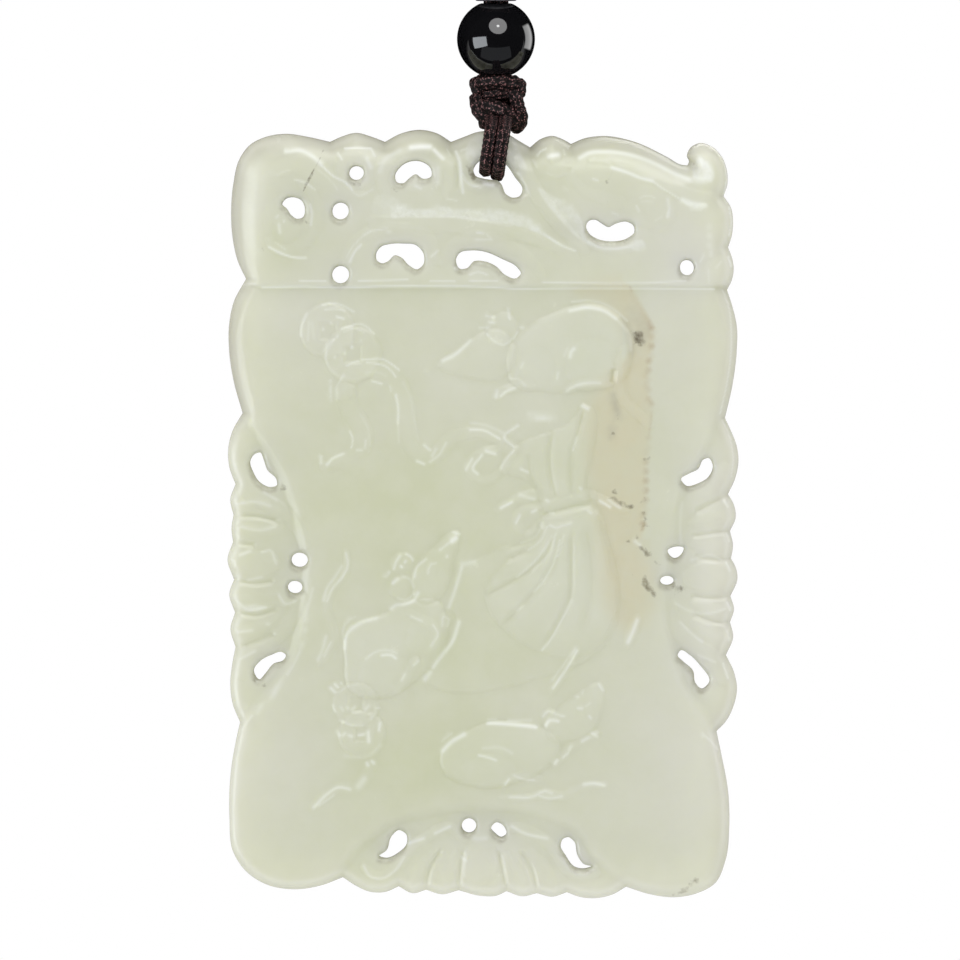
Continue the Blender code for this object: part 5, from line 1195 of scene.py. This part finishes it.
def inside_loop(points, loop):
    """Whether each point is inside a closed loop, by counting the edges that it lies left of."""
    inside = np.zeros(len(points), bool)
    for start, end in zip(loop, np.roll(loop, -1, axis=0)):
        spans = (start[1] > points[:, 1]) != (end[1] > points[:, 1])
        rise = end[1] - start[1] if end[1] != start[1] else 1.0
        inside ^= spans & (points[:, 0] < start[0] + (points[:, 1] - start[1]) / rise
                           * (end[0] - start[0]))
    return inside


def in_jade(points, rim, holes):
    """Whether each point is inside the rim and outside every hole."""
    solid = inside_loop(points, rim)
    for hole in holes:
        low, high = hole.min(axis=0), hole.max(axis=0)
        near = np.flatnonzero(((points > low) & (points < high)).all(axis=1))
        solid[near] &= ~inside_loop(points[near], hole)
    return solid


def nearby(sheet, outline, margin):
    """Numbers of the points within a margin of an outline's box."""
    low, high = outline.min(axis=0) - margin, outline.max(axis=0) + margin
    return np.flatnonzero(((sheet > low) & (sheet < high)).all(axis=1))


def swell(depth, share, softness):
    """A carved form by the depth inside its outline: a quick rise, then a slow dome.

    The rise is 0.45 of the way by one minus e to the minus depth over softness, and 0.55 of it
    by the same over five times the softness. Just outside its outline the ground dips by a
    shallow moat.
    """
    inside = np.clip(depth, 0, None)
    rise = 0.45 * (1 - np.exp(-inside / softness)) + 0.55 * (1 - np.exp(-inside / 5 / softness))
    moat = MOAT_DEPTH * np.exp(-(depth / MOAT_REACH) ** 2) * (depth < 0)
    return FORM_HEIGHT * share * rise * 1.2 - moat * min(1.0, share / 0.2)


class Carving:
    """Heights, in millimetres, and a painted highlight along fine crests, of points of the sheet,
    form by form.
    """

    def __init__(self, sheet):
        self.sheet = sheet
        self.height = np.zeros(len(sheet))
        # painted highlight along the fine crests, from 0 to 1
        self.crest_highlight = np.zeros(len(sheet))
        self.plain = np.ones(len(sheet), bool)

    def ground(self):
        """The field, the dragon panel above it and the bats' level below it."""
        y = self.sheet[:, 1]
        self.height += PANEL_RISE * 1000 * (1 - smooth((y - PANEL_FOOT) / 3.5))
        loop = curve_through(FIELD_EDGE, 8.0, closed=True)
        depth = depth_inside(self.sheet, loop)
        self.height -= BAT_DROP * 1000 * smooth(-depth / FIELD_SLOPE) * (y > PANEL_FOOT)

    def blob(self, outline, height, softness):
        """A form with a free outline."""
        loop = curve_through(outline, 5.0, closed=True)
        near = nearby(self.sheet, loop, FORM_BORDER)
        depth = depth_inside(self.sheet[near], loop)
        self.height[near] += swell(depth, height, softness)
        self.plain[near[depth > -FINE_ROUND]] = False

    def oval(self, centre, half_axes, turn, height, softness):
        """A form with an oval outline."""
        angle = math.radians(turn)
        x, y = (self.sheet - np.array(centre)).T
        along = x * math.cos(angle) + y * math.sin(angle)
        across = y * math.cos(angle) - x * math.sin(angle)
        reach = np.hypot(along / half_axes[0], across / half_axes[1])
        depth = (1 - reach) * min(half_axes)
        near = np.flatnonzero(depth > -FORM_BORDER)
        self.height[near] += swell(depth[near], height, softness)
        self.plain[near[depth[near] > -FINE_ROUND]] = False

    def band(self, points, widths, height, softness):
        """A rounded band along a curve, as wide at its start, middle and end as is given."""
        line = curve_through(points, 4.0)
        near = nearby(self.sheet, line, max(widths) + 12)
        reach, share = near_line(self.sheet[near], line)
        half = np.interp(share, [0, 0.5, 1], widths)
        self.height[near] += swell(half - reach, height, softness)
        self.plain[near[reach < half + FINE_ROUND]] = False

    def coin(self, centre, half_width, half_height, hole):
        """A flat disc with a raised rim and a square hole with its own raised rim."""
        x, y = (self.sheet - np.array(centre)).T
        reach = np.hypot(x / half_width, y / half_height) * half_width
        depth = half_width - reach
        near = np.flatnonzero(depth > -FORM_BORDER)
        square = np.maximum(abs(x[near]), abs(y[near])) - hole
        rims = (np.exp(-((depth[near] - 3.2) / 2.2) ** 2)
                + np.exp(-((square - 2.4) / 1.8) ** 2))
        sunk = 1 - smooth(square / 2.0 + 0.5)
        self.height[near] += (swell(depth[near], COIN_HEIGHT, 1.8) + COIN_RING * rims
                              * (depth[near] > 0) - 0.05 * sunk)
        self.plain[near[depth[near] > -FINE_ROUND]] = False

    def cut(self, points, half_width, depth):
        """A smooth groove along a curve, which runs out at both ends."""
        line = curve_through(points, 4.0)
        near = nearby(self.sheet, line, 3 * half_width)
        reach, share = near_line(self.sheet[near], line)
        fade = smooth(np.minimum(share, 1 - share) * 6 + 0.15)
        self.height[near] -= depth * np.exp(-(reach / half_width) ** 2) * fade
        self.plain[near[reach < FINE_ROUND]] = False

    def fine_crest_and_highlight(self, points, half_width, height, white):
        """A fine ridge: a thread of height, and of whiteness that paints a highlight, along a
        curve.
        """
        line = curve_through(points, 4.0)
        near = nearby(self.sheet, line, 3.5 * half_width + 2)
        reach, _ = near_line(self.sheet[near], line)
        self.height[near] += CREST_HEIGHT * height * np.exp(-(reach / (1.4 * half_width)) ** 2)
        # the whiteness paints a highlight along the crest
        self.crest_highlight[near] = np.maximum(self.crest_highlight[near], white * np.exp(
            -(reach / (0.8 * half_width)) ** 2))

    def carve(self):
        """Every form of the face."""
        self.ground()
        for blob in BLOBS:
            self.blob(*blob)
        for oval in OVALS:
            self.oval(*oval)
        for coin in COINS:
            self.coin(*coin)
        for band in BANDS:
            self.band(*band)
        for cut in CUTS:
            self.cut(*cut)
        for crest_highlight in CRESTS_AND_HIGHLIGHTS:
            self.fine_crest_and_highlight(*crest_highlight)
        return self


def rounding(distance, reach, drop):
    """How far a rounded edge lies below the flat at a distance from the boundary."""
    share = np.clip(1 - distance / reach, 0, 1)
    return drop * (1 - np.sqrt(1 - share * share))


def edge_size(sheet):
    """Size of the rim's rounding, zone by zone: broad along the panel, tight at the foot."""
    x, y = sheet.T
    size = np.full(len(x), EDGE_ROUND)
    for (middle_x, middle_y), (across, down), wider in EDGE_ZONES:
        size += wider * np.exp(-(((x - middle_x) / across) ** 4 + ((y - middle_y) / down) ** 4))
    return size


def ceiling(height):
    """Eases heights towards the plaque's highest level instead of cutting them off."""
    start = HIGHEST * 1000 - CEILING_EASE
    over = np.clip(height - start, 0, None)
    return np.where(height > start, start + CEILING_EASE * np.tanh(over / CEILING_EASE), height)


def back_height(points, reach):
    """Height of the back: flat, round at its edges, with the scoop behind the cord's hole."""
    across, down = ((on_sheet(points) - np.array(SCOOP_MIDDLE)) / np.array(SCOOP_REACH)).T
    scoop = SCOOP_DEPTH * np.sqrt(np.clip(1 - across * across - down * down, 0, None))
    return np.maximum(rounding(reach, BACK_ROUND, BACK_ROUND), scoop)


def hex_grid(step):
    """A triangular grid over the plaque."""
    half_x, half_y = PLAQUE_WIDTH / 2, PLAQUE_LENGTH / 2
    rows = np.arange(-half_y, half_y, step * math.sqrt(3) / 2)
    columns = np.arange(-half_x, half_x, step)
    x = columns[None, :] + (np.arange(len(rows)) % 2)[:, None] * step / 2
    y = np.tile(rows[:, None], (1, len(columns)))
    return np.column_stack([x.ravel(), y.ravel()])


def loop_area(loop):
    """Twice the area of a loop, below nothing where it runs clockwise."""
    return np.sum(loop[:, 0] * np.roll(loop[:, 1], -1) - loop[:, 1] * np.roll(loop[:, 0], -1))


def inset(loop, reach, inwards):
    """A loop moved sideways into the jade."""
    ahead = np.roll(loop, -1, axis=0) - np.roll(loop, 1, axis=0)
    ahead /= np.linalg.norm(ahead, axis=1)[:, None]
    normal = np.column_stack([-ahead[:, 1], ahead[:, 0]]) * np.sign(loop_area(loop))
    return loop + normal * reach * (1 if inwards else -1)


def triangulated(points, loops, rim, holes):
    """Triangles of the jade between the loops; the loops' corners are the points' first."""
    edges, start = [], 0
    for loop in loops:
        numbers = np.arange(start, start + len(loop))
        edges += np.column_stack([numbers, np.roll(numbers, -1)]).tolist()
        start += len(loop)
    flat = [Vector(point) for point in points.tolist()]
    corners, _, faces, _, _, _ = delaunay_2d_cdt(flat, edges, [], 0, 1e-9)
    corners = np.array([corner[:] for corner in corners])
    faces = np.array(faces)
    middle = corners[faces].mean(axis=1)
    return corners, faces[in_jade(middle, rim, holes)]


def face_points(rim, holes, loops):
    """Corners of the carved face: its loops, rings close inside them, and the grid."""
    rings = [inset(loop, reach, number == 0) for reach in RING_INSETS
             for number, loop in enumerate(loops)]
    rings = clear_points(np.vstack(rings), rim, holes, RING_APART)
    grid = clear_points(hex_grid(GRID_STEP), rim, holes, GRID_APART)
    plain = distance_to_loops(grid, loops, 1.2 * FINE_BORDER) > FINE_BORDER
    plain &= Carving(on_sheet(grid)).carve().plain
    coarse = clear_points(hex_grid(GRID_STEP * GROUND_EVERY), rim, holes, FINE_BORDER)
    coarse = coarse[Carving(on_sheet(coarse)).carve().plain]
    return np.vstack([*loops, rings, grid[~plain], coarse])


def back_points(rim, holes, loops):
    """Corners of the back: its loops, rings along its rounded edges, and a wide grid."""
    rings = [inset(loop, BACK_ROUND, number == 0) for number, loop in enumerate(loops)]
    rings = clear_points(np.vstack(rings)[::3], rim, holes, BACK_RING_APART)
    spots = clear_points(hex_grid(BACK_STEP), rim, holes, BACK_APART)
    return np.vstack([*loops, rings, spots])


def face_height(face, carving, rim_gap, holes):
    """Heights of the face's corners in metres: the carving, then the rounded rim and holes.

    A broad rounding of the rim falls a little less than it is wide.
    """
    height = ceiling(FIELD_LEVEL * 1000 + carving.height) / 1000
    size = edge_size(on_sheet(face))
    height -= rounding(rim_gap, size, size * np.interp(size, [0.0008, 0.0024], [1.0, 0.8]))
    hole_gap = distance_to_loops(face, holes, EDGE_REACH)
    return height - rounding(hole_gap, HOLE_ROUND, HOLE_ROUND)


def walls(loops, below):
    """Triangles of the walls between the face's loops and the back's, facing outwards."""
    faces, start = [], 0
    for number, loop in enumerate(loops):
        top = np.arange(start, start + len(loop))
        low, after = top + below, np.roll(top, -1)
        wall = np.vstack([np.column_stack([top, low, after]),
                          np.column_stack([after, low, after + below])])
        outwards = (loop_area(loop) > 0) == (number == 0)
        faces.append(wall if outwards else wall[:, ::-1])
        start += len(loop)
    return faces


def make_plaque():
    """The carved plaque: its face as a field of heights over the sheet, its walls and back."""
    rim, holes = rim_outline(), hole_outlines()
    loops = [rim, *holes]
    face, front = triangulated(face_points(rim, holes, loops), loops, rim, holes)
    sheet = on_sheet(face)
    carving = Carving(sheet).carve()
    rim_gap = distance_to_loops(face, [rim], EDGE_REACH)
    height = face_height(face, carving, rim_gap, holes)
    base, back = triangulated(back_points(rim, holes, loops), loops, rim, holes)
    under = back_height(base, distance_to_loops(base, loops, 0.0010))
    points = np.vstack([np.column_stack([face, height]), np.column_stack([base, under])])
    faces = [turned_up(face, front, True), turned_up(base, back, False) + len(face),
             *walls(loops, len(face))]
    marks = {key: np.concatenate([value, np.zeros(len(base))])
             for key, value in colour_and_painted_light_marks(sheet, carving, rim_gap, holes).items()}
    marks["pale"][len(face):] = BACK_PALE
    first, last = len(face) + len(rim), len(face) + sum(map(len, loops))
    marks["frost_and_highlight"][first:last] = HOLE_FROST
    return new_mesh("carved_plaque", points, np.vstack(faces).tolist(), attributes=marks)


def turned_up(points, faces, upwards):
    """Triangles turned to face up, or down."""
    a, b, c = (points[faces[:, i]] for i in range(3))
    area = (b[:, 0] - a[:, 0]) * (c[:, 1] - a[:, 1]) - (b[:, 1] - a[:, 1]) * (c[:, 0] - a[:, 0])
    wrong = (area < 0) == upwards
    faces = faces.copy()
    faces[wrong] = faces[wrong][:, ::-1]
    return faces


def hole_shade(sheet, holes):
    """Painted shade beside the pierced holes: mostly down and to the left of each."""
    shade = np.zeros(len(sheet))
    for hole in holes:
        loop = on_sheet(hole)
        near = nearby(sheet, loop, 16)
        depth = depth_inside(sheet[near], loop + np.array(HOLE_SHADE_SHIFT))
        own = near_loop(sheet[near], loop)
        value = np.maximum(smooth((depth + 3.5) / 5.0), 0.15 * np.exp(-(own / 2.2) ** 2))
        shade[near] = np.maximum(shade[near], value)
    return shade


def line_marks(sheet, lines):
    """Marks along lines, each given as points, half width and amount.

    A mark fades as e to the minus square of the distance over the half width, and the
    strongest counts where several meet.
    """
    value = np.zeros(len(sheet))
    for points, half_width, amount in lines:
        line = curve_through(points, 5.0) if len(points) > 1 else np.array(points * 2, float)
        near = nearby(sheet, line, 3 * half_width)
        reach, _ = near_line(sheet[near], line)
        value[near] = np.maximum(value[near], amount * np.exp(-(reach / half_width) ** 2))
    return value


def skin_marks(sheet):
    """The beige skin: soft on its left and at its foot, crisp on its right."""
    x, y = sheet.T
    patch = curve_through(SKIN_PATCH, 6.0, closed=True)
    near = nearby(sheet, patch, SKIN_SOFT)
    depth = depth_inside(sheet[near], patch)
    softness = np.where((x[near] < 622) | (y[near] > 540), SKIN_SOFT, SKIN_CRISP)
    skin = np.zeros(len(x))
    skin[near] = smooth(depth / softness + 0.5)
    return skin


def frost_and_highlight_marks(sheet):
    """Pale matte patches and painted highlights, each a little soft at its edge."""
    frost_and_highlight = np.zeros(len(sheet))
    for outline, amount in FROST_AND_HIGHLIGHTS:
        loop = curve_through(outline, 5.0, closed=True)
        near = nearby(sheet, loop, 6)
        depth = depth_inside(sheet[near], loop)
        frost_and_highlight[near] = np.maximum(frost_and_highlight[near], amount * smooth(depth / 3 + 0.5))
    return frost_and_highlight


def rim_shade(sheet, rim_gap):
    """Shade along the rim, deepest at the top, at the upper left and down the right side."""
    x, y = sheet.T
    side = np.maximum(smooth((178 - y) / 30), smooth((262 - x) / 30) * smooth((460 - y) / 60))
    side = np.maximum(side, 0.6 * smooth((x - 700) / 20))
    return np.exp(-(rim_gap / RIM_SHADE_REACH) ** 2) * (0.30 + 0.70 * side)


def colour_and_painted_light_marks(sheet, carving, rim_gap, holes):
    """Marks that the jade's material reads: paler raised parts, skin, stains, haze, and painted
    highlights and shade.
    """
    x, y = sheet.T
    level = PANEL_RISE * 1000 * (y < PANEL_FOOT)
    pale = np.zeros(len(x))
    for (middle_x, middle_y), (across, down), amount in CLOUDS:
        pale += amount * np.exp(-((x - middle_x) / across) ** 2 - ((y - middle_y) / down) ** 2)
    return {
        "raised": smooth((carving.height - level) / 0.30),
        # painted highlight along the fine crests
        "crest_highlight": carving.crest_highlight,
        # painted highlight in a band along the rim's rounding
        "rim_highlight": np.exp(-((rim_gap - 0.62 * EDGE_ROUND) / (0.4 * EDGE_ROUND)) ** 2),
        "rim_shade": rim_shade(sheet, rim_gap),
        "hole_shade": hole_shade(sheet, holes),
        "skin": skin_marks(sheet),
        "skin_line": line_marks(sheet, [(SKIN_LINE, 1.3, 1.0)]),
        "pale": pale * 0.5 + 0.5,
        # pale matte patches and painted highlights
        "frost_and_highlight": frost_and_highlight_marks(sheet),
        # dark stains and specks, and painted shade beside some holes
        "stain_and_shade": line_marks(sheet, STAINS_AND_SHADE),
        # grey haze, and painted shade along the rim
        "smoke_and_shade": line_marks(sheet, SMOKE_AND_SHADE),
    }


# ---------------------------------------------------------------- finishes


def shader(name):
    """A new material's node tree and its Principled shader."""
    material = bpy.data.materials.new(name)
    material.use_nodes = True
    nodes = material.node_tree.nodes
    return material, material.node_tree, nodes["Principled BSDF"]


def attribute(tree, name):
    """The factor of a piece's own attribute."""
    node = tree.nodes.new("ShaderNodeAttribute")
    node.attribute_name = name
    return node.outputs["Fac"]


def noise(tree, vector, scale, detail=3.0, roughness=0.55):
    """Cloudy noise of so many waves to the metre."""
    node = tree.nodes.new("ShaderNodeTexNoise")
    node.inputs["Scale"].default_value = scale
    node.inputs["Detail"].default_value = detail
    node.inputs["Roughness"].default_value = roughness
    tree.links.new(vector, node.inputs["Vector"])
    return node.outputs["Fac"]


def span(tree, value, low, high, to_low=0.0, to_high=1.0):
    """A value carried from one range to another and held inside it."""
    node = tree.nodes.new("ShaderNodeMapRange")
    for socket, amount in zip(node.inputs[1:5], (low, high, to_low, to_high)):
        socket.default_value = amount
    tree.links.new(value, node.inputs[0])
    return node.outputs[0]


def calc(tree, operation, first, second):
    """Two values put together."""
    node = tree.nodes.new("ShaderNodeMath")
    node.operation = operation
    for socket, value in zip(node.inputs, (first, second)):
        if isinstance(value, (int, float)):
            socket.default_value = value
        else:
            tree.links.new(value, socket)
    return node.outputs[0]


def blend_colour(tree, share, first, second):
    """One colour laid over another by a share."""
    node = tree.nodes.new("ShaderNodeMix")
    node.data_type = "RGBA"
    for socket, value in ((node.inputs[0], share), (node.inputs[6], first),
                          (node.inputs[7], second)):
        if isinstance(value, tuple):
            socket.default_value = (*value, 1)
        elif isinstance(value, (int, float)):
            socket.default_value = value
        else:
            tree.links.new(value, socket)
    return node.outputs[2]


def bump(tree, surface, height, distance, strength=1.0):
    """Small relief on the surface, its depth in metres."""
    node = tree.nodes.new("ShaderNodeBump")
    node.inputs["Distance"].default_value = distance
    node.inputs["Strength"].default_value = strength
    tree.links.new(height, node.inputs["Height"])
    tree.links.new(node.outputs["Normal"], surface.inputs["Normal"])


def object_place(tree):
    """The surface's place in the object's own frame."""
    return tree.nodes.new("ShaderNodeTexCoord").outputs["Object"]


def times(tree, first, second):
    """Two values multiplied."""
    return calc(tree, "MULTIPLY", first, second)


def uneven(tree, name, grain, low, high, least, most):
    """A piece's own mark made uneven by a grain, from its least share to its most."""
    return times(tree, attribute(tree, name), span(tree, grain, low, high, least, most))


def jade_material():
    """Pale polished nephrite: cloudy greens and creams, paler raised parts, a beige seam."""
    material, tree, surface = shader("jade")
    place = object_place(tree)
    clouds = span(tree, noise(tree, place, 90.0, 4.0), 0.36, 0.66)
    veins = span(tree, noise(tree, place, 330.0, 5.0, 0.65), 0.40, 0.72)
    flecks = noise(tree, place, 1500.0, 3.0, 0.6)
    pale = calc(tree, "ADD", attribute(tree, "pale"), times(tree, clouds, 0.4))
    # stains and painted shade, with dark flecks
    stain_and_shade = calc(tree, "ADD", attribute(tree, "stain_and_shade"), span(tree, flecks, 0.3, 0.7, -0.36, 0.26))
    # matte frost and painted highlights, made uneven by the flecks
    frost_and_highlight = uneven(tree, "frost_and_highlight", flecks, 0.35, 0.65, 0.45, 1.0)
    # a faint painted highlight along the rim's rounding
    glint = times(tree, attribute(tree, "rim_highlight"), 0.15)
    # whiteness along the fine crests and the rim: painted highlights
    crest_highlight = calc(tree, "MAXIMUM", times(tree, attribute(tree, "crest_highlight"), 0.72), glint)
    layers = [
        # share of the layer, from the lowest up, and its colour
        (span(tree, pale, 0.2, 1.3), JADE_CREAM),
        (times(tree, veins, 0.25), JADE_PALE),
        (times(tree, attribute(tree, "raised"), 0.22), JADE_RAISED),
        (uneven(tree, "skin", veins, 0, 1, 0.45, 0.85), JADE_SKIN),
        (uneven(tree, "skin_line", veins, 0, 1, 0.15, 0.9), JADE_RUST),
        # grey haze and painted shade
        (uneven(tree, "smoke_and_shade", veins, 0, 1, 0.4, 1.0), JADE_SMOKE_AND_SHADE),
        # stains and painted shade
        (times(tree, span(tree, stain_and_shade, 0.28, 0.75), 0.8), JADE_STAIN_AND_SHADE),
        # painted shade beside the holes
        (uneven(tree, "hole_shade", flecks, 0.3, 0.7, 0.25, 0.65), JADE_SHADE),
        (times(tree, frost_and_highlight, 0.75), JADE_FROST_AND_HIGHLIGHT),
        # painted shade along the rim
        (times(tree, attribute(tree, "rim_shade"), 0.5), JADE_RIM_SHADE),
        # painted highlights along the crests and the rim
        (crest_highlight, JADE_FROST_AND_HIGHLIGHT),
    ]
    colour = JADE_GREEN
    for share, layer in layers:
        colour = blend_colour(tree, share, colour, layer)
    tree.links.new(colour, surface.inputs["Base Color"])
    rough = calc(tree, "ADD", span(tree, veins, 0, 1, 0.23, 0.28), times(tree, frost_and_highlight, 0.03))
    tree.links.new(rough, surface.inputs["Roughness"])
    surface.inputs["Specular IOR Level"].default_value = 0.24
    surface.inputs["IOR"].default_value = 1.56
    surface.inputs["Subsurface Weight"].default_value = 1.0
    surface.inputs["Subsurface Radius"].default_value = (1.0, 1.0, 0.85)
    surface.inputs["Subsurface Scale"].default_value = 0.0050
    bump(tree, surface, noise(tree, place, 520.0, 3.0), 0.00006, 0.5)
    return material


def braid_group():
    """Round braid: diamonds of two strands that wind opposite ways, and its pale specks, paler
    fibre with painted glints.

    The height is the product of two cosines, one of each way round the cord.
    """
    group = bpy.data.node_groups.new("braid", "ShaderNodeTree")
    for name, kind in (("Place", "NodeSocketVector"), ("Strands", "NodeSocketFloat"),
                       ("Run", "NodeSocketFloat")):
        group.interface.new_socket(name, in_out="INPUT", socket_type=kind)
    for name in ("Weave", "Fibres_and_glints"):
        group.interface.new_socket(name, in_out="OUTPUT", socket_type="NodeSocketFloat")
    given = group.nodes.new("NodeGroupInput").outputs
    result = group.nodes.new("NodeGroupOutput").inputs
    parts = group.nodes.new("ShaderNodeSeparateXYZ")
    group.links.new(given["Place"], parts.inputs[0])
    wind = times(group, parts.outputs[0], given["Strands"])
    run = times(group, parts.outputs[1], given["Run"])
    ways = [calc(group, "COSINE", times(group, calc(group, way, wind, run), math.tau), 0)
            for way in ("ADD", "SUBTRACT")]
    group.links.new(span(group, times(group, *ways), -1, 1), result["Weave"])
    grain = group.nodes.new("ShaderNodeMapping")
    grain.inputs["Scale"].default_value = (28.0, 55.0, 1.0)
    group.links.new(given["Place"], grain.inputs["Vector"])
    fibres_and_glints = noise(group, grain.outputs[0], 1.0, 2.0, 0.6)
    group.links.new(span(group, fibres_and_glints, 0.54, 0.64), result["Fibres_and_glints"])
    return group


def cord_material(name, braid, dark, light, strands, run):
    """Waxed braided cord: dark strands with pale specks on their backs, paler fibre with painted
    glints.
    """
    material, tree, surface = shader(name)
    node = tree.nodes.new("ShaderNodeGroup")
    node.node_tree = braid
    node.inputs["Strands"].default_value = strands
    node.inputs["Run"].default_value = run
    place = tree.nodes.new("ShaderNodeUVMap")
    place.uv_map = "UVMap"
    tree.links.new(place.outputs[0], node.inputs["Place"])
    weave, fibres_and_glints = node.outputs["Weave"], node.outputs["Fibres_and_glints"]
    # pale specks where the weave stands highest: paler fibre, and painted glints
    share = calc(tree, "MULTIPLY", fibres_and_glints, span(tree, weave, 0.25, 0.7))
    tree.links.new(blend_colour(tree, share, dark, light), surface.inputs["Base Color"])
    tree.links.new(span(tree, weave, 0, 1, 0.75, 0.48), surface.inputs["Roughness"])
    surface.inputs["Specular IOR Level"].default_value = 0.18
    bump(tree, surface, weave, 0.00008)
    return material


def bead_material():
    """Polished black stone with the faintest clouds."""
    material, tree, surface = shader("black_stone")
    clouds = noise(tree, object_place(tree), 420.0, 4.0)
    tree.links.new(blend_colour(tree, clouds, BEAD_BLACK, BEAD_CLOUD),
                   surface.inputs["Base Color"])
    tree.links.new(span(tree, clouds, 0.3, 0.7, 0.03, 0.06), surface.inputs["Roughness"])
    surface.inputs["IOR"].default_value = 1.6
    return material


def spacer_material():
    """Grey stone with darker grains."""
    material, tree, surface = shader("grey_stone")
    grains = span(tree, noise(tree, object_place(tree), 2600.0, 3.0), 0.45, 0.65)
    tree.links.new(blend_colour(tree, grains, SPACER_GREY, SPACER_GRAIN),
                   surface.inputs["Base Color"])
    tree.links.new(span(tree, grains, 0, 1, 0.30, 0.42), surface.inputs["Roughness"])
    return material


def finish_with(piece, material):
    """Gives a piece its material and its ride."""
    piece.data.materials.append(material)
    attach(piece, "root")


# ---------------------------------------------------------------- floor, light and camera


def make_floor():
    """A plain white floor that reads as the photograph's blank background.

    Polished pieces reflect it white beside the plaque and black round the beads, but for a
    wedge to the right of the black bead, which gives its tall white reflection.
    """
    mesh = bpy.data.meshes.new("floor")
    half = FLOOR_HALF
    mesh.from_pydata([(-half, -half, 0), (half, -half, 0), (half, half, 0), (-half, half, 0)],
                     [], [(0, 1, 2, 3)])
    floor = bpy.data.objects.new("floor", mesh)
    bpy.context.scene.collection.objects.link(floor)
    material, tree, surface = shader("floor")
    parts = tree.nodes.new("ShaderNodeSeparateXYZ")
    tree.links.new(object_place(tree), parts.inputs[0])
    top = PLAQUE_LENGTH / 2
    beside = span(tree, parts.outputs[1], top - 0.006, top + 0.002, FLOOR_REFLECTED, 0.0)
    bead_x, bead_y, _ = middle_of("black_bead")
    across = calc(tree, "SUBTRACT", parts.outputs[0], bead_x)
    slope = calc(tree, "DIVIDE", calc(tree, "SUBTRACT", parts.outputs[1], bead_y), across)
    wedge = WEDGE_STRENGTH
    for value, (low, high, to_low, to_high) in ((across, WEDGE_START), (across, WEDGE_END),
                                                (slope, WEDGE_FOOT), (slope, WEDGE_TOP)):
        wedge = times(tree, span(tree, value, low, high, to_low, to_high), wedge)
    ray = tree.nodes.new("ShaderNodeLightPath").outputs
    seen = times(tree, span(tree, ray["Is Camera Ray"], 0, 1, FLOOR_TO_PIECES, 1.0),
                 calc(tree, "SUBTRACT", 1.0, ray["Is Glossy Ray"]))
    mirrored = times(tree, calc(tree, "ADD", beside, wedge), ray["Is Glossy Ray"])
    glow = tree.nodes.new("ShaderNodeEmission")
    tree.links.new(calc(tree, "ADD", seen, mirrored), glow.inputs["Strength"])
    tree.nodes.remove(surface)
    tree.links.new(glow.outputs[0], tree.nodes["Material Output"].inputs["Surface"])
    mesh.materials.append(material)


def soft_light(name, compass, zenith, distance, size, power, colour, glossy, diffuse):
    """A soft light at an angle round from +Y towards +X and an angle down from overhead."""
    round_, down = math.radians(compass), math.radians(zenith)
    place = Vector((distance * math.sin(down) * math.sin(round_),
                    distance * math.sin(down) * math.cos(round_), distance * math.cos(down)))
    data = bpy.data.lights.new(name, "AREA")
    data.shape = "RECTANGLE" if isinstance(size, tuple) else "DISK"
    data.size, data.size_y = size if isinstance(size, tuple) else (size, size)
    data.energy = power
    data.color = colour
    light = bpy.data.objects.new(name, data)
    light.location = place
    light.rotation_euler = (-place).to_track_quat("-Z", "Y").to_euler()
    light.visible_glossy, light.visible_diffuse = glossy, diffuse
    bpy.context.scene.collection.objects.link(light)


def make_lights():
    """A bright even room, with softboxes of which the polished pieces show the reflections."""
    for light in LIGHTS:
        soft_light(*light)
    world = bpy.data.worlds.new("studio")
    world.use_nodes = True
    tree = world.node_tree
    glossy = tree.nodes.new("ShaderNodeLightPath").outputs["Is Glossy Ray"]
    tree.links.new(span(tree, glossy, 0, 1, ROOM_STRENGTH, ROOM_REFLECTED),
                   tree.nodes["Background"].inputs["Strength"])
    tree.nodes["Background"].inputs["Color"].default_value = (1, 1, 1, 1)
    bpy.context.scene.world = world


def make_camera():
    """Straight overhead: the camera's frame covers VIEW_SPAN steps of the sheet."""
    data = bpy.data.cameras.new("camera")
    data.sensor_width = SENSOR_WIDTH
    data.lens = SENSOR_WIDTH * VIEW_DISTANCE / (VIEW_SPAN * STEP)
    data.clip_start, data.clip_end = 0.01, 10.0
    camera = bpy.data.objects.new("camera", data)
    x, y = on_plaque([VIEW_MIDDLE])[0]
    camera.location = (x, y, VIEW_HEIGHT + VIEW_DISTANCE)
    bpy.context.scene.collection.objects.link(camera)
    bpy.context.scene.camera = camera
    bpy.context.scene.view_settings.view_transform = "Standard"


# ---------------------------------------------------------------- the pendant


def main():
    """Builds the pendant over its frame."""
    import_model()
    make_camera()
    neck_cord, route, ties = make_neck_cord()
    knot = make_knot()
    loops = make_hanging_loops()
    bead, spacer = make_beads()
    plaque = make_plaque()
    braid = braid_group()
    cord_finish = cord_material("braid", braid, BRAID_DARK, BRAID_FIBRES_AND_GLINTS, STRANDS_ROUND, 5.0)
    thread_finish = cord_material("tie_thread", braid, BRAID_DARK, BRAID_FIBRES_AND_GLINTS, 2.0, 8.0)
    finish_with(plaque, jade_material())
    finish_with(bead, bead_material())
    finish_with(spacer, spacer_material())
    for piece in (neck_cord, knot, *loops):
        finish_with(piece, cord_finish)
    finish_with(ties, thread_finish)
    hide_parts("jade_plaque")
    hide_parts("black_bead")
    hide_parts("spacer_bead")
    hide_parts("cord_knot")
    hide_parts("hanging_loop_left")
    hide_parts("hanging_loop_right")
    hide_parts("neck_cord_left", "neck_cord_right", "neck_cord_coil")
    make_floor()
    make_lights()


main()
